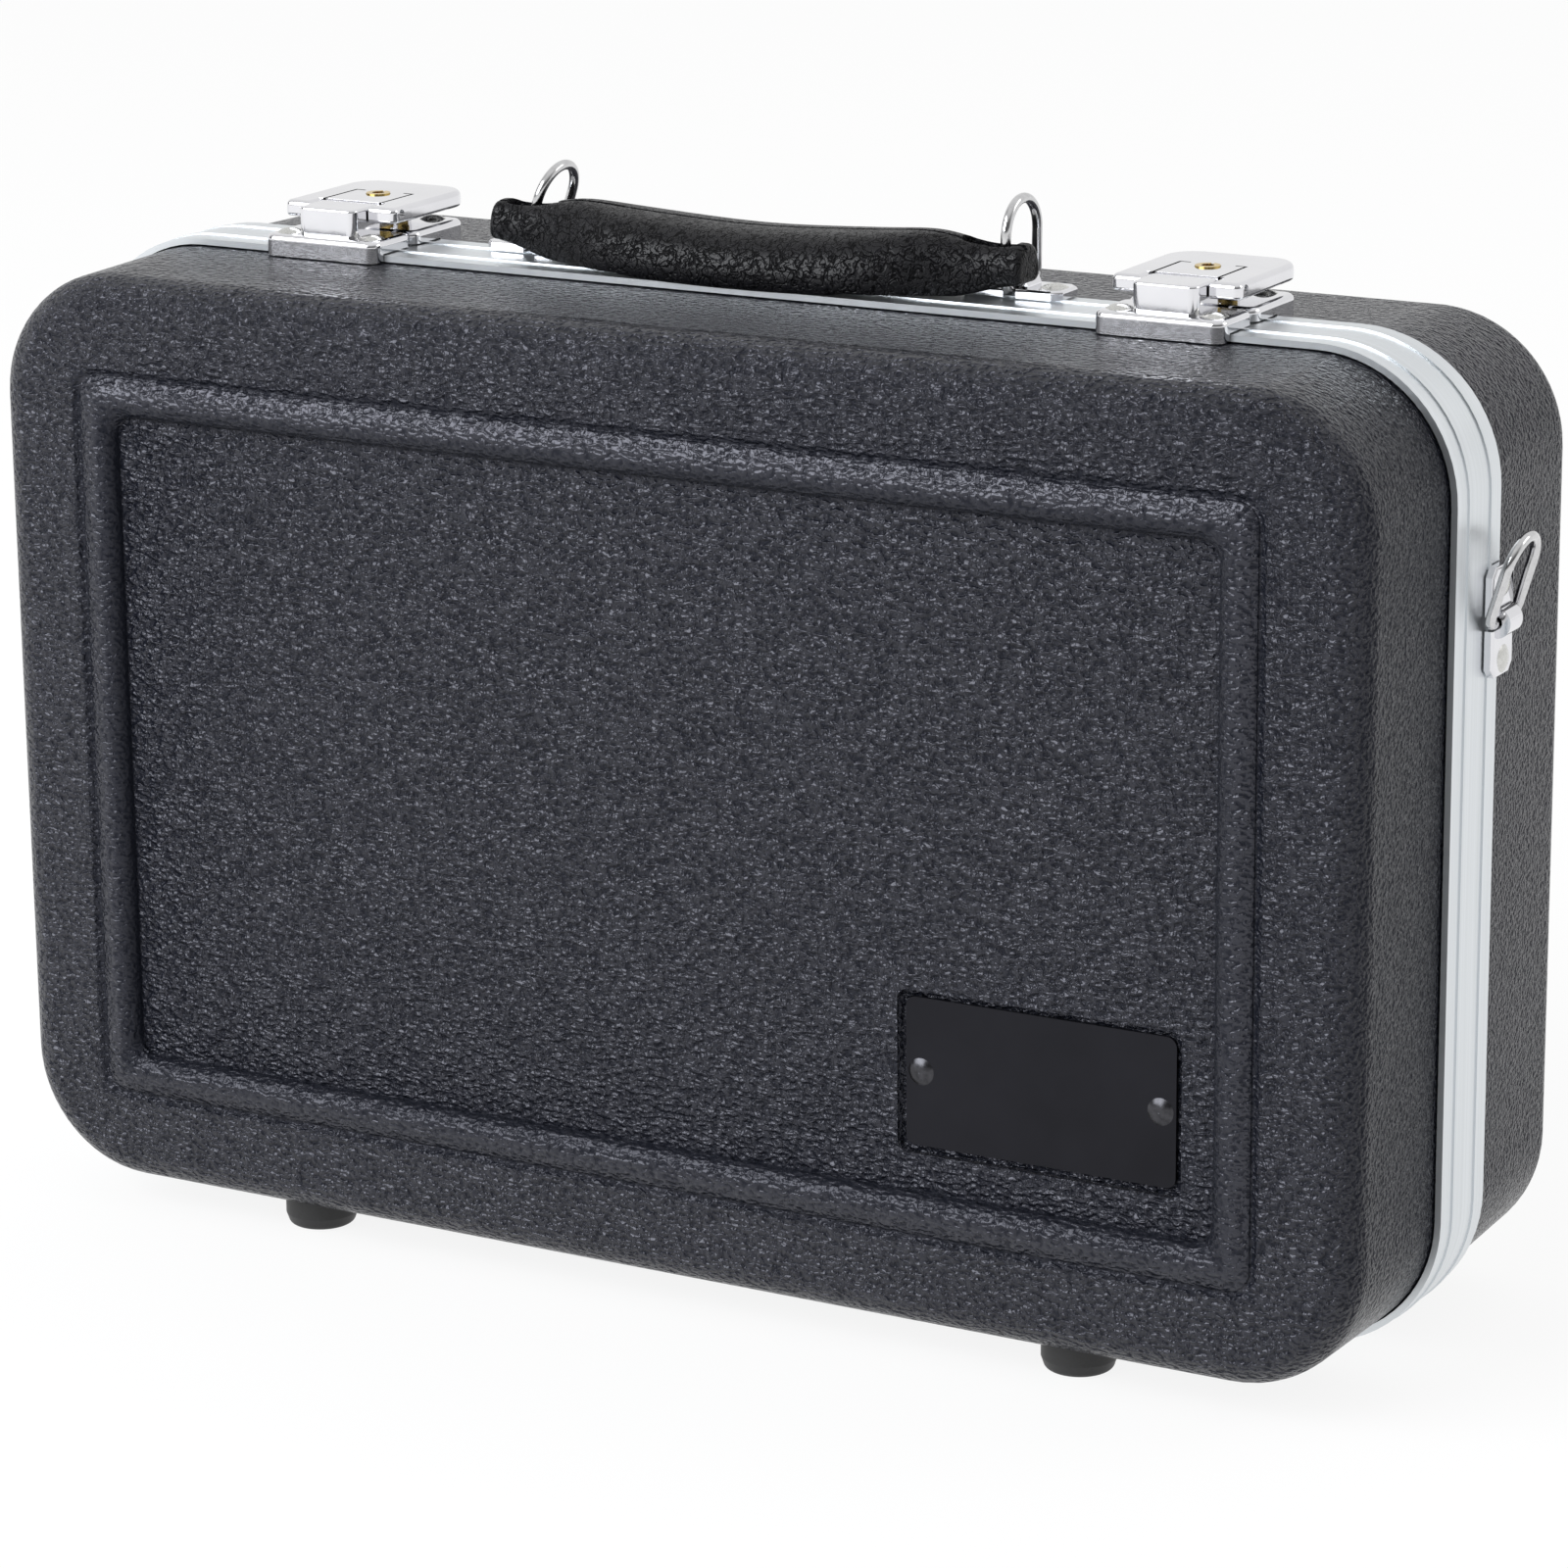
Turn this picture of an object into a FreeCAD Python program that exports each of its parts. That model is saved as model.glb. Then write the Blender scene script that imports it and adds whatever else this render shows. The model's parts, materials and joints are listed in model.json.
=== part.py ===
import FreeCAD, Part
import math
import os
import Sketcher

# A hard clarinet case that stands upright on its spine.
# Every length is in millimetres and every angle in degrees.
# Local frame: X along the case, Y from front to back, Z up.
# The local origin is the middle of the parting plane between lid and base.

SIZES = {
    # Moulded shells
    "case_length": 370.0,
    "case_height": 235.0,
    "lid_depth": 58.5,
    "base_depth": 64.0,
    "shell_wall": 2.8,
    "corner_radius": 33.0,
    "draft_angle": 1.2,
    "edge_radius": 9.0,
    "inner_edge_radius": 4.0,
    "face_wall": 2.4,
    # Raised frame moulded into both large faces
    "bead_margin_side": 26.4,
    "bead_margin_top": 25.5,
    "bead_width": 10.0,
    "bead_height": 1.5,
    "bead_corner_radius": 5.5,
    "bead_outer_round": 1.3,
    "bead_inner_round": 3.2,
    "panel_recess": 2.5,
    "groove_width": 0.8,
    "groove_depth": 0.7,
    # Name plate and its pocket
    "plate_centre_x": 103.8,
    "plate_centre_z": -52.8,
    "plate_length": 69.5,
    "plate_height": 36.3,
    "plate_thickness": 1.0,
    "plate_corner_radius": 2.5,
    "plate_border": 1.8,
    "plate_pocket_depth": 2.0,
    "plate_rivet_spacing": 61.6,
    "plate_rivet_grip": 2.9,
    "boss_border": 4.0,
    # Aluminium rims
    "lid_band_width": 13.5,
    "base_band_width": 12.0,
    "band_proud": 1.7,
    "rim_clearance": 0.15,
    "rim_web": 1.0,
    "rim_inner_wall": 1.2,
    "rim_inner_reach": 6.4,
    "lip_reach": 4.0,
    "lip_clearance": 0.3,
    "lip_wall": 1.2,
    "ridge_width": 1.2,
    "ridge_height": 0.35,
    # Feet
    "foot_height": 7.5,
    "foot_radius": 9.1,
    "foot_tip_radius": 8.1,
    "foot_round": 1.6,
    "foot_spread": 107.0,
    "foot_inset_front": 18.5,
    "foot_inset_back": 18.5,
    "foot_recess_radius": 4.2,
    "foot_recess_depth": 3.0,
    # Rivets
    "rivet_head_radius": 3.3,
    "rivet_head_height": 1.0,
    "rivet_radius": 1.5,
    "rivet_tail_radius": 2.4,
    "rivet_tail_height": 0.8,
    "rivet_clearance": 0.05,
    # Hinges at the spine
    "hinge_spread": 78.0,
    "hinge_length": 40.0,
    "hinge_leaf_reach": 12.2,
    "hinge_leaf_thickness": 1.2,
    "knuckle_radius": 2.2,
    "knuckle_drop": 2.5,
    "knuckle_gap": 0.3,
    "hinge_pin_radius": 1.0,
    "hinge_pin_clearance": 0.05,
    "hinge_rivet_spacing": 26.0,
    "hinge_rivet_reach": 9.2,
    "hinge_rivet_head_radius": 2.4,
    "hinge_rivet_head_height": 0.9,
    # Latches on the top side
    "latch_spread": 114.0,
    "latch_width": 33.0,
    "latch_plate_reach": 17.6,
    "keeper_reach": 24.0,
    "latch_plate_top": 5.3,
    "latch_sheet": 1.2,
    "latch_corner_radius": 3.2,
    "latch_edge_round": 1.5,
    "latch_gap": 0.2,
    "latch_rivet_spread": 11.9,
    "latch_rivet_reach": 12.0,
    "keeper_rivet_spread": 10.0,
    "keeper_rivet_reach": 19.0,
    "block_width": 16.6,
    "block_front": 14.2,
    "block_back": 2.6,
    "block_height": 6.8,
    "block_round": 0.7,
    "block_corner": 2.2,
    "pivot_front": 4.6,
    "pivot_height": 5.2,
    "lever_rise": 7.0,
    "lever_plate": 4.0,
    "lever_width": 32.6,
    "lever_back": 28.0,
    "lever_corner_radius": 8.0,
    "lever_round": 1.4,
    "lever_under_round": 0.8,
    "nose_corner": 1.8,
    "arm_nose_reach": 3.4,
    "ear_wall": 1.4,
    "ear_gap": 0.35,
    "tongue_front": 2.0,
    "slot_width": 0.7,
    "slot_back": 13.0,
    "slot_turn": 3.0,
    "pin_radius": 1.1,
    "pin_clearance": 0.05,
    "lock_back": 9.7,
    "lock_radius": 3.0,
    "lock_clearance": 0.1,
    "lock_head": 0.3,
    "lock_drop": 0.8,
    "lock_cam_length": 4.3,
    "lock_cam_width": 3.0,
    "lock_cam_thickness": 0.9,
    "lock_slot_width": 0.9,
    "lock_bore_radius": 1.5,
    "lock_slot_depth": 1.4,
    "hook_back": 16.5,
    "hook_width": 9.0,
    "hook_wall": 1.2,
    "hook_clearance": 0.3,
    "catch_height": 1.4,
    "catch_back": 14.6,
    "catch_wall": 1.3,
    "catch_width": 11.0,
    # Riveted brackets that hold the rings
    "bracket_length": 26.0,
    "bracket_width": 12.0,
    "bracket_back": 9.2,
    "tab_thickness": 2.2,
    "tab_corner_cut": 2.2,
    "tab_edge_round": 0.8,
    "arch_radius": 3.7,
    "arch_width": 7.4,
    "bracket_rivet_spread": 9.0,
    "handle_bracket_spread": 66.0,
    "strap_bracket_height": 54.5,
    # Wire rings
    "wire_radius": 1.25,
    "ring_width": 16.2,
    "ring_height": 20.9,
    "ring_corner_radius": 3.0,
    "ring_bore_gap": 0.4,
    "left_ring_lean": 19.0,
    "right_ring_lean": 1.0,
    "strap_ring_lean": 17.0,
    # Moulded handle
    "grip_length": 145.0,
    "grip_middle_y": -0.8,
    "grip_end_y": 0.8,
    "grip_top_middle": 14.9,
    "grip_top_hump": 17.0,
    "grip_top_end": 15.4,
    "grip_bottom_middle": 0.8,
    "grip_bottom_end": 6.3,
    "grip_width_middle": 31.0,
    "grip_width_end": 11.8,
    "grip_slot_width": 6.4,
    "grip_slot_length": 15.0,
    "grip_slot_place": 62.5,
    "grip_end_round": 1.4,
    "grip_groove_width": 1.2,
    "grip_groove_depth": 1.0,
    "channel_border": 0.9,
    # Fitted lining
    "lining_gap": 0.4,
    "lining_top": 1.4,
    "lining_wall": 9.0,
    "lining_round": 4.0,
    "bell_bay_width": 84.0,
    "bell_bay_height": 112.0,
    "bell_bay_depth": 46.0,
    "lower_joint_bay_height": 52.0,
    "upper_joint_bay_height": 46.0,
    "joint_bay_depth": 34.0,
    "mouthpiece_bay_length": 104.0,
    "mouthpiece_bay_height": 40.0,
    "mouthpiece_bay_depth": 30.0,
    "barrel_bay_length": 70.0,
    "accessory_bay_depth": 38.0,
    "bay_corner_radius": 8.0,
    "bay_floor_round": 6.0,
    "lid_pad_border": 5.8,
    "lid_pad_thickness": 14.0,
    "cut_overrun": 2.0,
    # How near an edge lies to a plane that it is picked by
    "edge_tolerance": 0.01,
}

# Handle stations: place along the half length, then how far the top has
# risen to the hump, the top and the bottom have moved to their end levels,
# and the width has closed to its end width.
GRIP_STATION_SHARES = (
    (0.00, 0.00, 0.00, 0.00, 0.00),
    (0.30, 0.35, 0.00, 0.00, 0.05),
    (0.53, 0.85, 0.00, 0.04, 0.27),
    (0.69, 1.00, 0.00, 0.18, 0.66),
    (0.83, 0.06, 0.90, 0.54, 0.91),
    (0.92, 0.00, 1.00, 0.84, 1.00),
    (1.00, 0.00, 1.00, 1.00, 1.00),
)

# Handle outline: across the half width and up the height.
GRIP_OUTLINE_SHARES = (
    (0.00, 1.00),
    (0.35, 0.98),
    (0.62, 0.90),
    (0.84, 0.72),
    (0.96, 0.50),
    (1.00, 0.30),
    (0.95, 0.12),
    (0.80, 0.025),
    (0.42, 0.00),
    (0.00, 0.00),
    (-0.42, 0.00),
    (-0.80, 0.025),
    (-0.95, 0.12),
    (-1.00, 0.30),
    (-0.96, 0.50),
    (-0.84, 0.72),
    (-0.62, 0.90),
    (-0.35, 0.98),
)

SLOT_ROUND_SHARE = 0.4


class Size:
    """A length together with the sheet expression that it comes from."""

    def __init__(self, value, text):
        self.value = float(value)
        self.text = text

    def joined(self, other, sign, value):
        return Size(value, "(" + self.text + " " + sign + " " + other.text + ")")

    def __add__(self, other):
        other = as_size(other)
        return self.joined(other, "+", self.value + other.value)

    def __sub__(self, other):
        other = as_size(other)
        return self.joined(other, "-", self.value - other.value)

    def __mul__(self, other):
        other = as_size(other)
        return self.joined(other, "*", self.value * other.value)

    def __truediv__(self, other):
        other = as_size(other)
        return self.joined(other, "/", self.value / other.value)

    def __rmul__(self, other):
        return as_size(other) * self

    def __neg__(self):
        return Size(-self.value, "(-" + self.text + ")")


def as_size(number):
    if isinstance(number, Size):
        return number
    return Size(number, repr(float(number)))


class Sheet:
    """The sizes by name, each as a Size that follows its sheet cell."""

    def __getattr__(self, name):
        return Size(SIZES[name], "Sizes." + name)


S = Sheet()
ZERO = as_size(0)
doc = FreeCAD.newDocument("ClarinetCase")
bodies = []


def make_sheet():
    sheet = doc.addObject("Spreadsheet::Sheet", "Sizes")
    for row, (name, number) in enumerate(SIZES.items(), start=1):
        sheet.set("A%d" % row, name)
        sheet.set("B%d" % row, repr(number))
        sheet.setAlias("B%d" % row, name)
    doc.recompute()


# Lengths that several pieces share

HALF_LENGTH = S.case_length / 2
HALF_HEIGHT = S.case_height / 2
PARTING_Y = (S.lid_depth - S.base_depth) / 2
CENTRE_Z = S.foot_height + HALF_HEIGHT
BAND_TOP = HALF_HEIGHT + S.band_proud
INNER_EDGE = S.shell_wall + S.rim_clearance
LIP_OUTER = INNER_EDGE + S.rim_inner_wall + S.lip_clearance
LIP_INNER = LIP_OUTER + S.lip_wall
BEAD_HALF_LENGTH = HALF_LENGTH - S.bead_margin_side
BEAD_HALF_HEIGHT = HALF_HEIGHT - S.bead_margin_top
PANEL_HALF_LENGTH = BEAD_HALF_LENGTH - S.bead_width
PANEL_HALF_HEIGHT = BEAD_HALF_HEIGHT - S.bead_width
FACE_DEPTH = S.panel_recess + S.face_wall
HINGE_Z = -(BAND_TOP + S.knuckle_drop)
LATCH_SEAT = BAND_TOP + S.ridge_height
LATCH_TOP = HALF_HEIGHT + S.latch_plate_top
PIVOT_Z = LATCH_TOP + S.pivot_height
LEVER_TOP = LATCH_TOP + S.lever_rise
LEVER_LOW = LEVER_TOP - S.lever_plate
RING_BAR_HEIGHT = S.wire_radius + S.ring_bore_gap
LEAF_TOP = BAND_TOP + S.ridge_height
PLATE_FLOOR = S.panel_recess + S.plate_pocket_depth
LEAN = Size(math.tan(math.radians(SIZES["draft_angle"])), "tan(Sizes.draft_angle)")
HOLE_RADIUS = S.rivet_radius + S.rivet_clearance


# Sketch helpers

def add_body(name):
    body = doc.addObject("PartDesign::Body", name)
    body.Label = name
    body.AllowCompound = True
    bodies.append(body)
    return body


def place(body, x=ZERO, y=ZERO, z=ZERO, axis=None, angle=ZERO):
    """Put a body into the case frame, turned about one axis."""
    if axis is not None:
        turn = FreeCAD.Rotation(FreeCAD.Vector(*axis), angle.value)
        body.Placement = FreeCAD.Placement(FreeCAD.Vector(), turn)
        body.setExpression(".Placement.Rotation.Angle", angle.text)
    body.setExpression(".Placement.Base.x", x.text)
    body.setExpression(".Placement.Base.y", (PARTING_Y + y).text)
    body.setExpression(".Placement.Base.z", (CENTRE_Z + z).text)


def origin_plane(body, role):
    return [f for f in body.Origin.OriginFeatures if f.Role == role][0]


def add_sketch(body, plane, x=ZERO, y=ZERO, height=ZERO):
    """A sketch on one of the body's origin planes, moved by its offset."""
    sketch = body.newObject("Sketcher::SketchObject", "Sketch")
    sketch.AttachmentSupport = (origin_plane(body, plane), [""])
    sketch.MapMode = "FlatFace"
    for path, size in (("x", x), ("y", y), ("z", height)):
        if size is not ZERO:
            sketch.setExpression(".AttachmentOffset.Base." + path, size.text)
    return sketch


def point(x, y):
    return FreeCAD.Vector(x.value, y.value, 0)


def constrain(sketch, kind, *where, size=None):
    if size is None:
        return sketch.addConstraint(Sketcher.Constraint(kind, *where))
    index = sketch.addConstraint(Sketcher.Constraint(kind, *where, size.value))
    sketch.setExpression("Constraints[%d]" % index, size.text)
    return index


def pin_point(sketch, curve, end, x, y):
    """Tie one end of a curve to a place given by two sizes."""
    if x is ZERO:
        constrain(sketch, "PointOnObject", curve, end, -2)
    else:
        constrain(sketch, "DistanceX", -1, 1, curve, end, size=x)
    if y is ZERO:
        constrain(sketch, "PointOnObject", curve, end, -1)
    else:
        constrain(sketch, "DistanceY", -1, 1, curve, end, size=y)


def draw_outline(sketch, points):
    """A closed outline of straight lines through the given points."""
    count = len(points)
    first = sketch.GeometryCount
    for i in range(count):
        a = points[i]
        b = points[(i + 1) % count]
        sketch.addGeometry(Part.LineSegment(point(*a), point(*b)), False)
    for i in range(count):
        constrain(sketch, "Coincident", first + i, 2, first + (i + 1) % count, 1)
    for i in range(count):
        pin_point(sketch, first + i, 1, *points[i])


def draw_circle(sketch, x, y, radius):
    circle = Part.Circle(point(x, y), FreeCAD.Vector(0, 0, 1), radius.value)
    index = sketch.addGeometry(circle, False)
    pin_point(sketch, index, 3, x, y)
    constrain(sketch, "Radius", index, size=radius)


def draw_rounded_box(sketch, half_wide, half_high, radius, x=ZERO, y=ZERO):
    """A rectangle with four equal round corners about a centre."""
    left, right = x - half_wide, x + half_wide
    low, high = y - half_high, y + half_high
    up = FreeCAD.Vector(0, 0, 1)
    corners = (
        (right - radius, high - radius, 0.0),
        (left + radius, high - radius, 0.5),
        (left + radius, low + radius, 1.0),
        (right - radius, low + radius, 1.5),
    )
    first = sketch.GeometryCount
    for cx, cy, turn in corners:
        circle = Part.Circle(point(cx, cy), up, radius.value)
        arc = Part.ArcOfCircle(circle, turn * math.pi, (turn + 0.5) * math.pi)
        sketch.addGeometry(arc, False)
    sides = (
        ((right - radius, high), (left + radius, high)),
        ((left, high - radius), (left, low + radius)),
        ((left + radius, low), (right - radius, low)),
        ((right, low + radius), (right, high - radius)),
    )
    for a, b in sides:
        sketch.addGeometry(Part.LineSegment(point(*a), point(*b)), False)
    for i in range(4):
        constrain(sketch, "Tangent", first + i, 2, first + 4 + i, 1)
        constrain(sketch, "Tangent", first + 4 + i, 2, first + (i + 1) % 4, 1)
    for i in range(3):
        constrain(sketch, "Equal", first + i, first + i + 1)
    for i in (0, 2):
        constrain(sketch, "Horizontal", first + 4 + i)
        constrain(sketch, "Vertical", first + 5 + i)
    constrain(sketch, "Radius", first, size=radius)
    constrain(sketch, "DistanceY", -1, 1, first + 4, 1, size=high)
    constrain(sketch, "DistanceX", -1, 1, first + 5, 1, size=left)
    constrain(sketch, "DistanceY", -1, 1, first + 6, 1, size=low)
    constrain(sketch, "DistanceX", -1, 1, first + 7, 1, size=right)


# Feature helpers

def pad(body, sketch, length, reverse=False, middle=False, taper=None):
    feature = body.newObject("PartDesign::Pad", "Pad")
    feature.Profile = sketch
    feature.Length = length.value
    feature.setExpression("Length", length.text)
    feature.Reversed = reverse
    feature.Midplane = middle
    if taper is not None:
        feature.setExpression("TaperAngle", taper.text)
    doc.recompute()
    return feature


def pocket(body, sketch, length, reverse=False, middle=False, taper=None):
    feature = body.newObject("PartDesign::Pocket", "Pocket")
    feature.Profile = sketch
    feature.Length = length.value
    feature.setExpression("Length", length.text)
    feature.Reversed = reverse
    feature.Midplane = middle
    if taper is not None:
        feature.setExpression("TaperAngle", taper.text)
    doc.recompute()
    return feature


def round_edges(body, radius, wanted, kind="Fillet"):
    """Round or bevel the edges of the body's tip that a test picks out."""
    tip = body.Tip
    names = []
    for i, edge in enumerate(tip.Shape.Edges, start=1):
        if wanted(edge):
            names.append("Edge%d" % i)
    feature = body.newObject("PartDesign::" + kind, kind)
    feature.Base = (tip, names)
    path = "Radius" if kind == "Fillet" else "Size"
    feature.setExpression(path, radius.text)
    doc.recompute()
    return feature


def flat_at(axis, level):
    """A test for edges that lie in one plane square to an axis."""
    def test(edge):
        box = edge.BoundBox
        low = getattr(box, axis + "Min")
        high = getattr(box, axis + "Max")
        reach = S.edge_tolerance.value
        return abs(low - level.value) < reach and abs(high - level.value) < reach
    return test


def inside(half_long, half_high):
    """A test for edges that stay within a box about the middle of the face."""
    def test(edge):
        box = edge.BoundBox
        margin = S.edge_tolerance.value
        wide = max(abs(box.XMin), abs(box.XMax)) < half_long.value + margin
        return wide and max(abs(box.ZMin), abs(box.ZMax)) < half_high.value + margin
    return test


def front_sketch(body, y=ZERO, x=ZERO):
    return add_sketch(body, "XZ_Plane", x=x, height=-y)


def plan_sketch(body, z=ZERO, x=ZERO, y=ZERO):
    return add_sketch(body, "XY_Plane", x=x, y=y, height=z)


def side_sketch(body, x=ZERO):
    return add_sketch(body, "YZ_Plane", height=x)


def draw_box(sketch, left, low, right, high):
    draw_outline(sketch, [(left, low), (right, low), (right, high), (left, high)])


def draw_arch(sketch, radius, centre, low):
    """A doorway outline: straight sides and a half-round head."""
    up = FreeCAD.Vector(0, 0, 1)
    circle = Part.Circle(point(ZERO, centre), up, radius.value)
    arc = sketch.addGeometry(Part.ArcOfCircle(circle, 0.0, math.pi), False)
    corners = ((-radius, centre), (-radius, low), (radius, low), (radius, centre))
    for a, b in zip(corners, corners[1:]):
        sketch.addGeometry(Part.LineSegment(point(*a), point(*b)), False)
    constrain(sketch, "Coincident", arc, 2, arc + 1, 1)
    constrain(sketch, "Coincident", arc + 1, 2, arc + 2, 1)
    constrain(sketch, "Coincident", arc + 2, 2, arc + 3, 1)
    constrain(sketch, "Coincident", arc + 3, 2, arc, 1)
    pin_point(sketch, arc, 3, ZERO, centre)
    pin_point(sketch, arc + 1, 1, -radius, centre)
    pin_point(sketch, arc + 2, 1, -radius, low)
    pin_point(sketch, arc + 3, 1, radius, low)
    constrain(sketch, "DistanceY", -1, 1, arc, 1, size=centre)


def draw_bow(sketch, half, high, radius):
    """A loop with a straight foot at the origin, round corners and a half-round head."""
    up = FreeCAD.Vector(0, 0, 1)
    arcs = (
        (half - radius, radius, radius, 1.5, 2.0),
        (ZERO, high - half, half, 0.0, 1.0),
        (-half + radius, radius, radius, 1.0, 1.5),
    )
    sides = (
        ((half, radius), (half, high - half)),
        ((-half, high - half), (-half, radius)),
        ((-half + radius, ZERO), (half - radius, ZERO)),
    )
    for (cx, cy, size, start, end), (a, b) in zip(arcs, sides):
        circle = Part.Circle(point(cx, cy), up, size.value)
        sketch.addGeometry(Part.ArcOfCircle(circle, start * math.pi, end * math.pi), False)
        sketch.addGeometry(Part.LineSegment(point(*a), point(*b)), False)
    count = sketch.GeometryCount
    for i in range(count):
        constrain(sketch, "Tangent", i, 2, (i + 1) % count, 1)
    constrain(sketch, "Vertical", 1)
    constrain(sketch, "Vertical", 3)
    constrain(sketch, "Horizontal", 5)
    constrain(sketch, "Equal", 0, 4)
    constrain(sketch, "Radius", 0, size=radius)
    constrain(sketch, "DistanceX", -1, 1, 1, 1, size=half)
    constrain(sketch, "DistanceX", -1, 1, 3, 1, size=-half)
    constrain(sketch, "PointOnObject", 5, 1, -1)
    constrain(sketch, "DistanceY", -1, 1, 2, 3, size=high - half)


def draw_turned(sketch, points, dome_radius, dome_height):
    """Half of a turned outline that ends in a dome on the vertical axis."""
    rise = (dome_radius * dome_radius + dome_height * dome_height) / (dome_height * 2)
    centre = dome_height - rise
    up = FreeCAD.Vector(0, 0, 1)
    count = len(points)
    for a, b in zip(points, points[1:]):
        sketch.addGeometry(Part.LineSegment(point(*a), point(*b)), False)
    circle = Part.Circle(point(ZERO, centre), up, rise.value)
    start = math.atan2(-centre.value, dome_radius.value)
    sketch.addGeometry(Part.ArcOfCircle(circle, start, math.pi / 2), False)
    top = point(ZERO, dome_height)
    sketch.addGeometry(Part.LineSegment(top, point(*points[0])), False)
    arc = count - 1
    for i in range(count + 1):
        constrain(sketch, "Coincident", i, 2, (i + 1) % (count + 1), 1)
    for i in range(count):
        pin_point(sketch, i, 1, *points[i])
    pin_point(sketch, arc, 2, ZERO, dome_height)
    constrain(sketch, "PointOnObject", arc, 3, -2)


def revolve(body, sketch):
    feature = body.newObject("PartDesign::Revolution", "Revolution")
    feature.Profile = sketch
    feature.ReferenceAxis = (sketch, ["V_Axis"])
    feature.Angle = 360.0
    doc.recompute()
    return feature


def drill(body, sketch, places, radius, depth, reverse=False):
    """Round holes of one size from one sketch."""
    for x, y in places:
        draw_circle(sketch, x, y, radius)
    return pocket(body, sketch, depth, reverse=reverse)


# Places that the holes and the fasteners share

BRACKET_SEAT = BAND_TOP + S.ridge_height
HANDLE_RIVETS = [
    (side * S.handle_bracket_spread + end * S.bracket_rivet_spread, S.bracket_back)
    for side in (-1, 1)
    for end in (-1, 1)
]
STRAP_RIVETS = [
    (S.bracket_back, S.strap_bracket_height + end * S.bracket_rivet_spread)
    for end in (-1, 1)
]
LATCH_RIVETS = [
    (side * S.latch_spread + end * S.latch_rivet_spread, -S.latch_rivet_reach)
    for side in (-1, 1)
    for end in (-1, 1)
]
KEEPER_RIVETS = [
    (side * S.latch_spread + end * S.keeper_rivet_spread, S.keeper_rivet_reach)
    for side in (-1, 1)
    for end in (-1, 1)
]
HINGE_RIVETS_X = [
    side * S.hinge_spread + end * S.hinge_rivet_spacing / 2
    for side in (-1, 1)
    for end in (-1, 1)
]
FOOT_X = [-S.foot_spread, S.foot_spread]
FOOT_LID_Y = S.foot_inset_front - S.lid_depth
FOOT_BASE_Y = S.base_depth - S.foot_inset_back
HOLE_DEPTH = S.shell_wall + S.cut_overrun
KNUCKLE_COUNT = 3


# Moulded shells

def add_face_frame(body, face, outward):
    """The raised bead round the recessed panel of one large face."""
    crest = face + outward * S.bead_height
    sketch = front_sketch(body, face)
    draw_rounded_box(sketch, BEAD_HALF_LENGTH, BEAD_HALF_HEIGHT, S.bead_corner_radius)
    pad(body, sketch, S.bead_height, reverse=outward > 0)
    round_edges(body, S.bead_outer_round, flat_at("Y", crest))
    sketch = front_sketch(body, crest)
    inner_radius = S.bead_corner_radius - S.bead_outer_round / 2
    draw_rounded_box(sketch, PANEL_HALF_LENGTH, PANEL_HALF_HEIGHT, inner_radius)
    pocket(body, sketch, S.bead_height + S.panel_recess, reverse=outward > 0)
    at_crest = flat_at("Y", crest)
    in_panel = inside(PANEL_HALF_LENGTH, PANEL_HALF_HEIGHT)
    round_edges(body, S.bead_inner_round, lambda e: at_crest(e) and in_panel(e))
    sketch = front_sketch(body, face)
    wide = BEAD_HALF_LENGTH + S.groove_width
    high = BEAD_HALF_HEIGHT + S.groove_width
    draw_rounded_box(sketch, wide, high, S.bead_corner_radius + S.groove_width)
    draw_rounded_box(sketch, BEAD_HALF_LENGTH, BEAD_HALF_HEIGHT, S.bead_corner_radius)
    pocket(body, sketch, S.groove_depth, reverse=outward > 0)


def make_shell(name, depth, outward):
    """A drafted tray with a rounded face edge, open at the parting plane."""
    body = add_body(name)
    edge = outward * S.rim_web
    sketch = front_sketch(body, edge)
    draw_rounded_box(sketch, HALF_LENGTH, HALF_HEIGHT, S.corner_radius)
    pad(body, sketch, depth - S.rim_web, reverse=outward > 0, taper=-S.draft_angle)
    round_edges(body, S.edge_radius, flat_at("Y", outward * depth))
    sketch = front_sketch(body, edge)
    inner_long = HALF_LENGTH - S.shell_wall
    inner_high = HALF_HEIGHT - S.shell_wall
    draw_rounded_box(sketch, inner_long, inner_high, S.corner_radius - S.shell_wall)
    floor = depth - FACE_DEPTH
    pocket(body, sketch, floor - S.rim_web, reverse=outward < 0, taper=-S.draft_angle)
    round_edges(body, S.inner_edge_radius, flat_at("Y", outward * floor))
    add_face_frame(body, outward * depth, outward)
    return body


def add_foot_seats(body, y):
    """Flat bosses on the lower side, level with the shell's widest line."""
    sketch = plan_sketch(body, -HALF_HEIGHT)
    for x in FOOT_X:
        draw_circle(sketch, x, y, S.foot_radius)
    pad(body, sketch, S.shell_wall)
    sketch = plan_sketch(body, -HALF_HEIGHT)
    places = [(x, y) for x in FOOT_X]
    drill(body, sketch, places, HOLE_RADIUS, HOLE_DEPTH + S.shell_wall, reverse=True)


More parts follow.
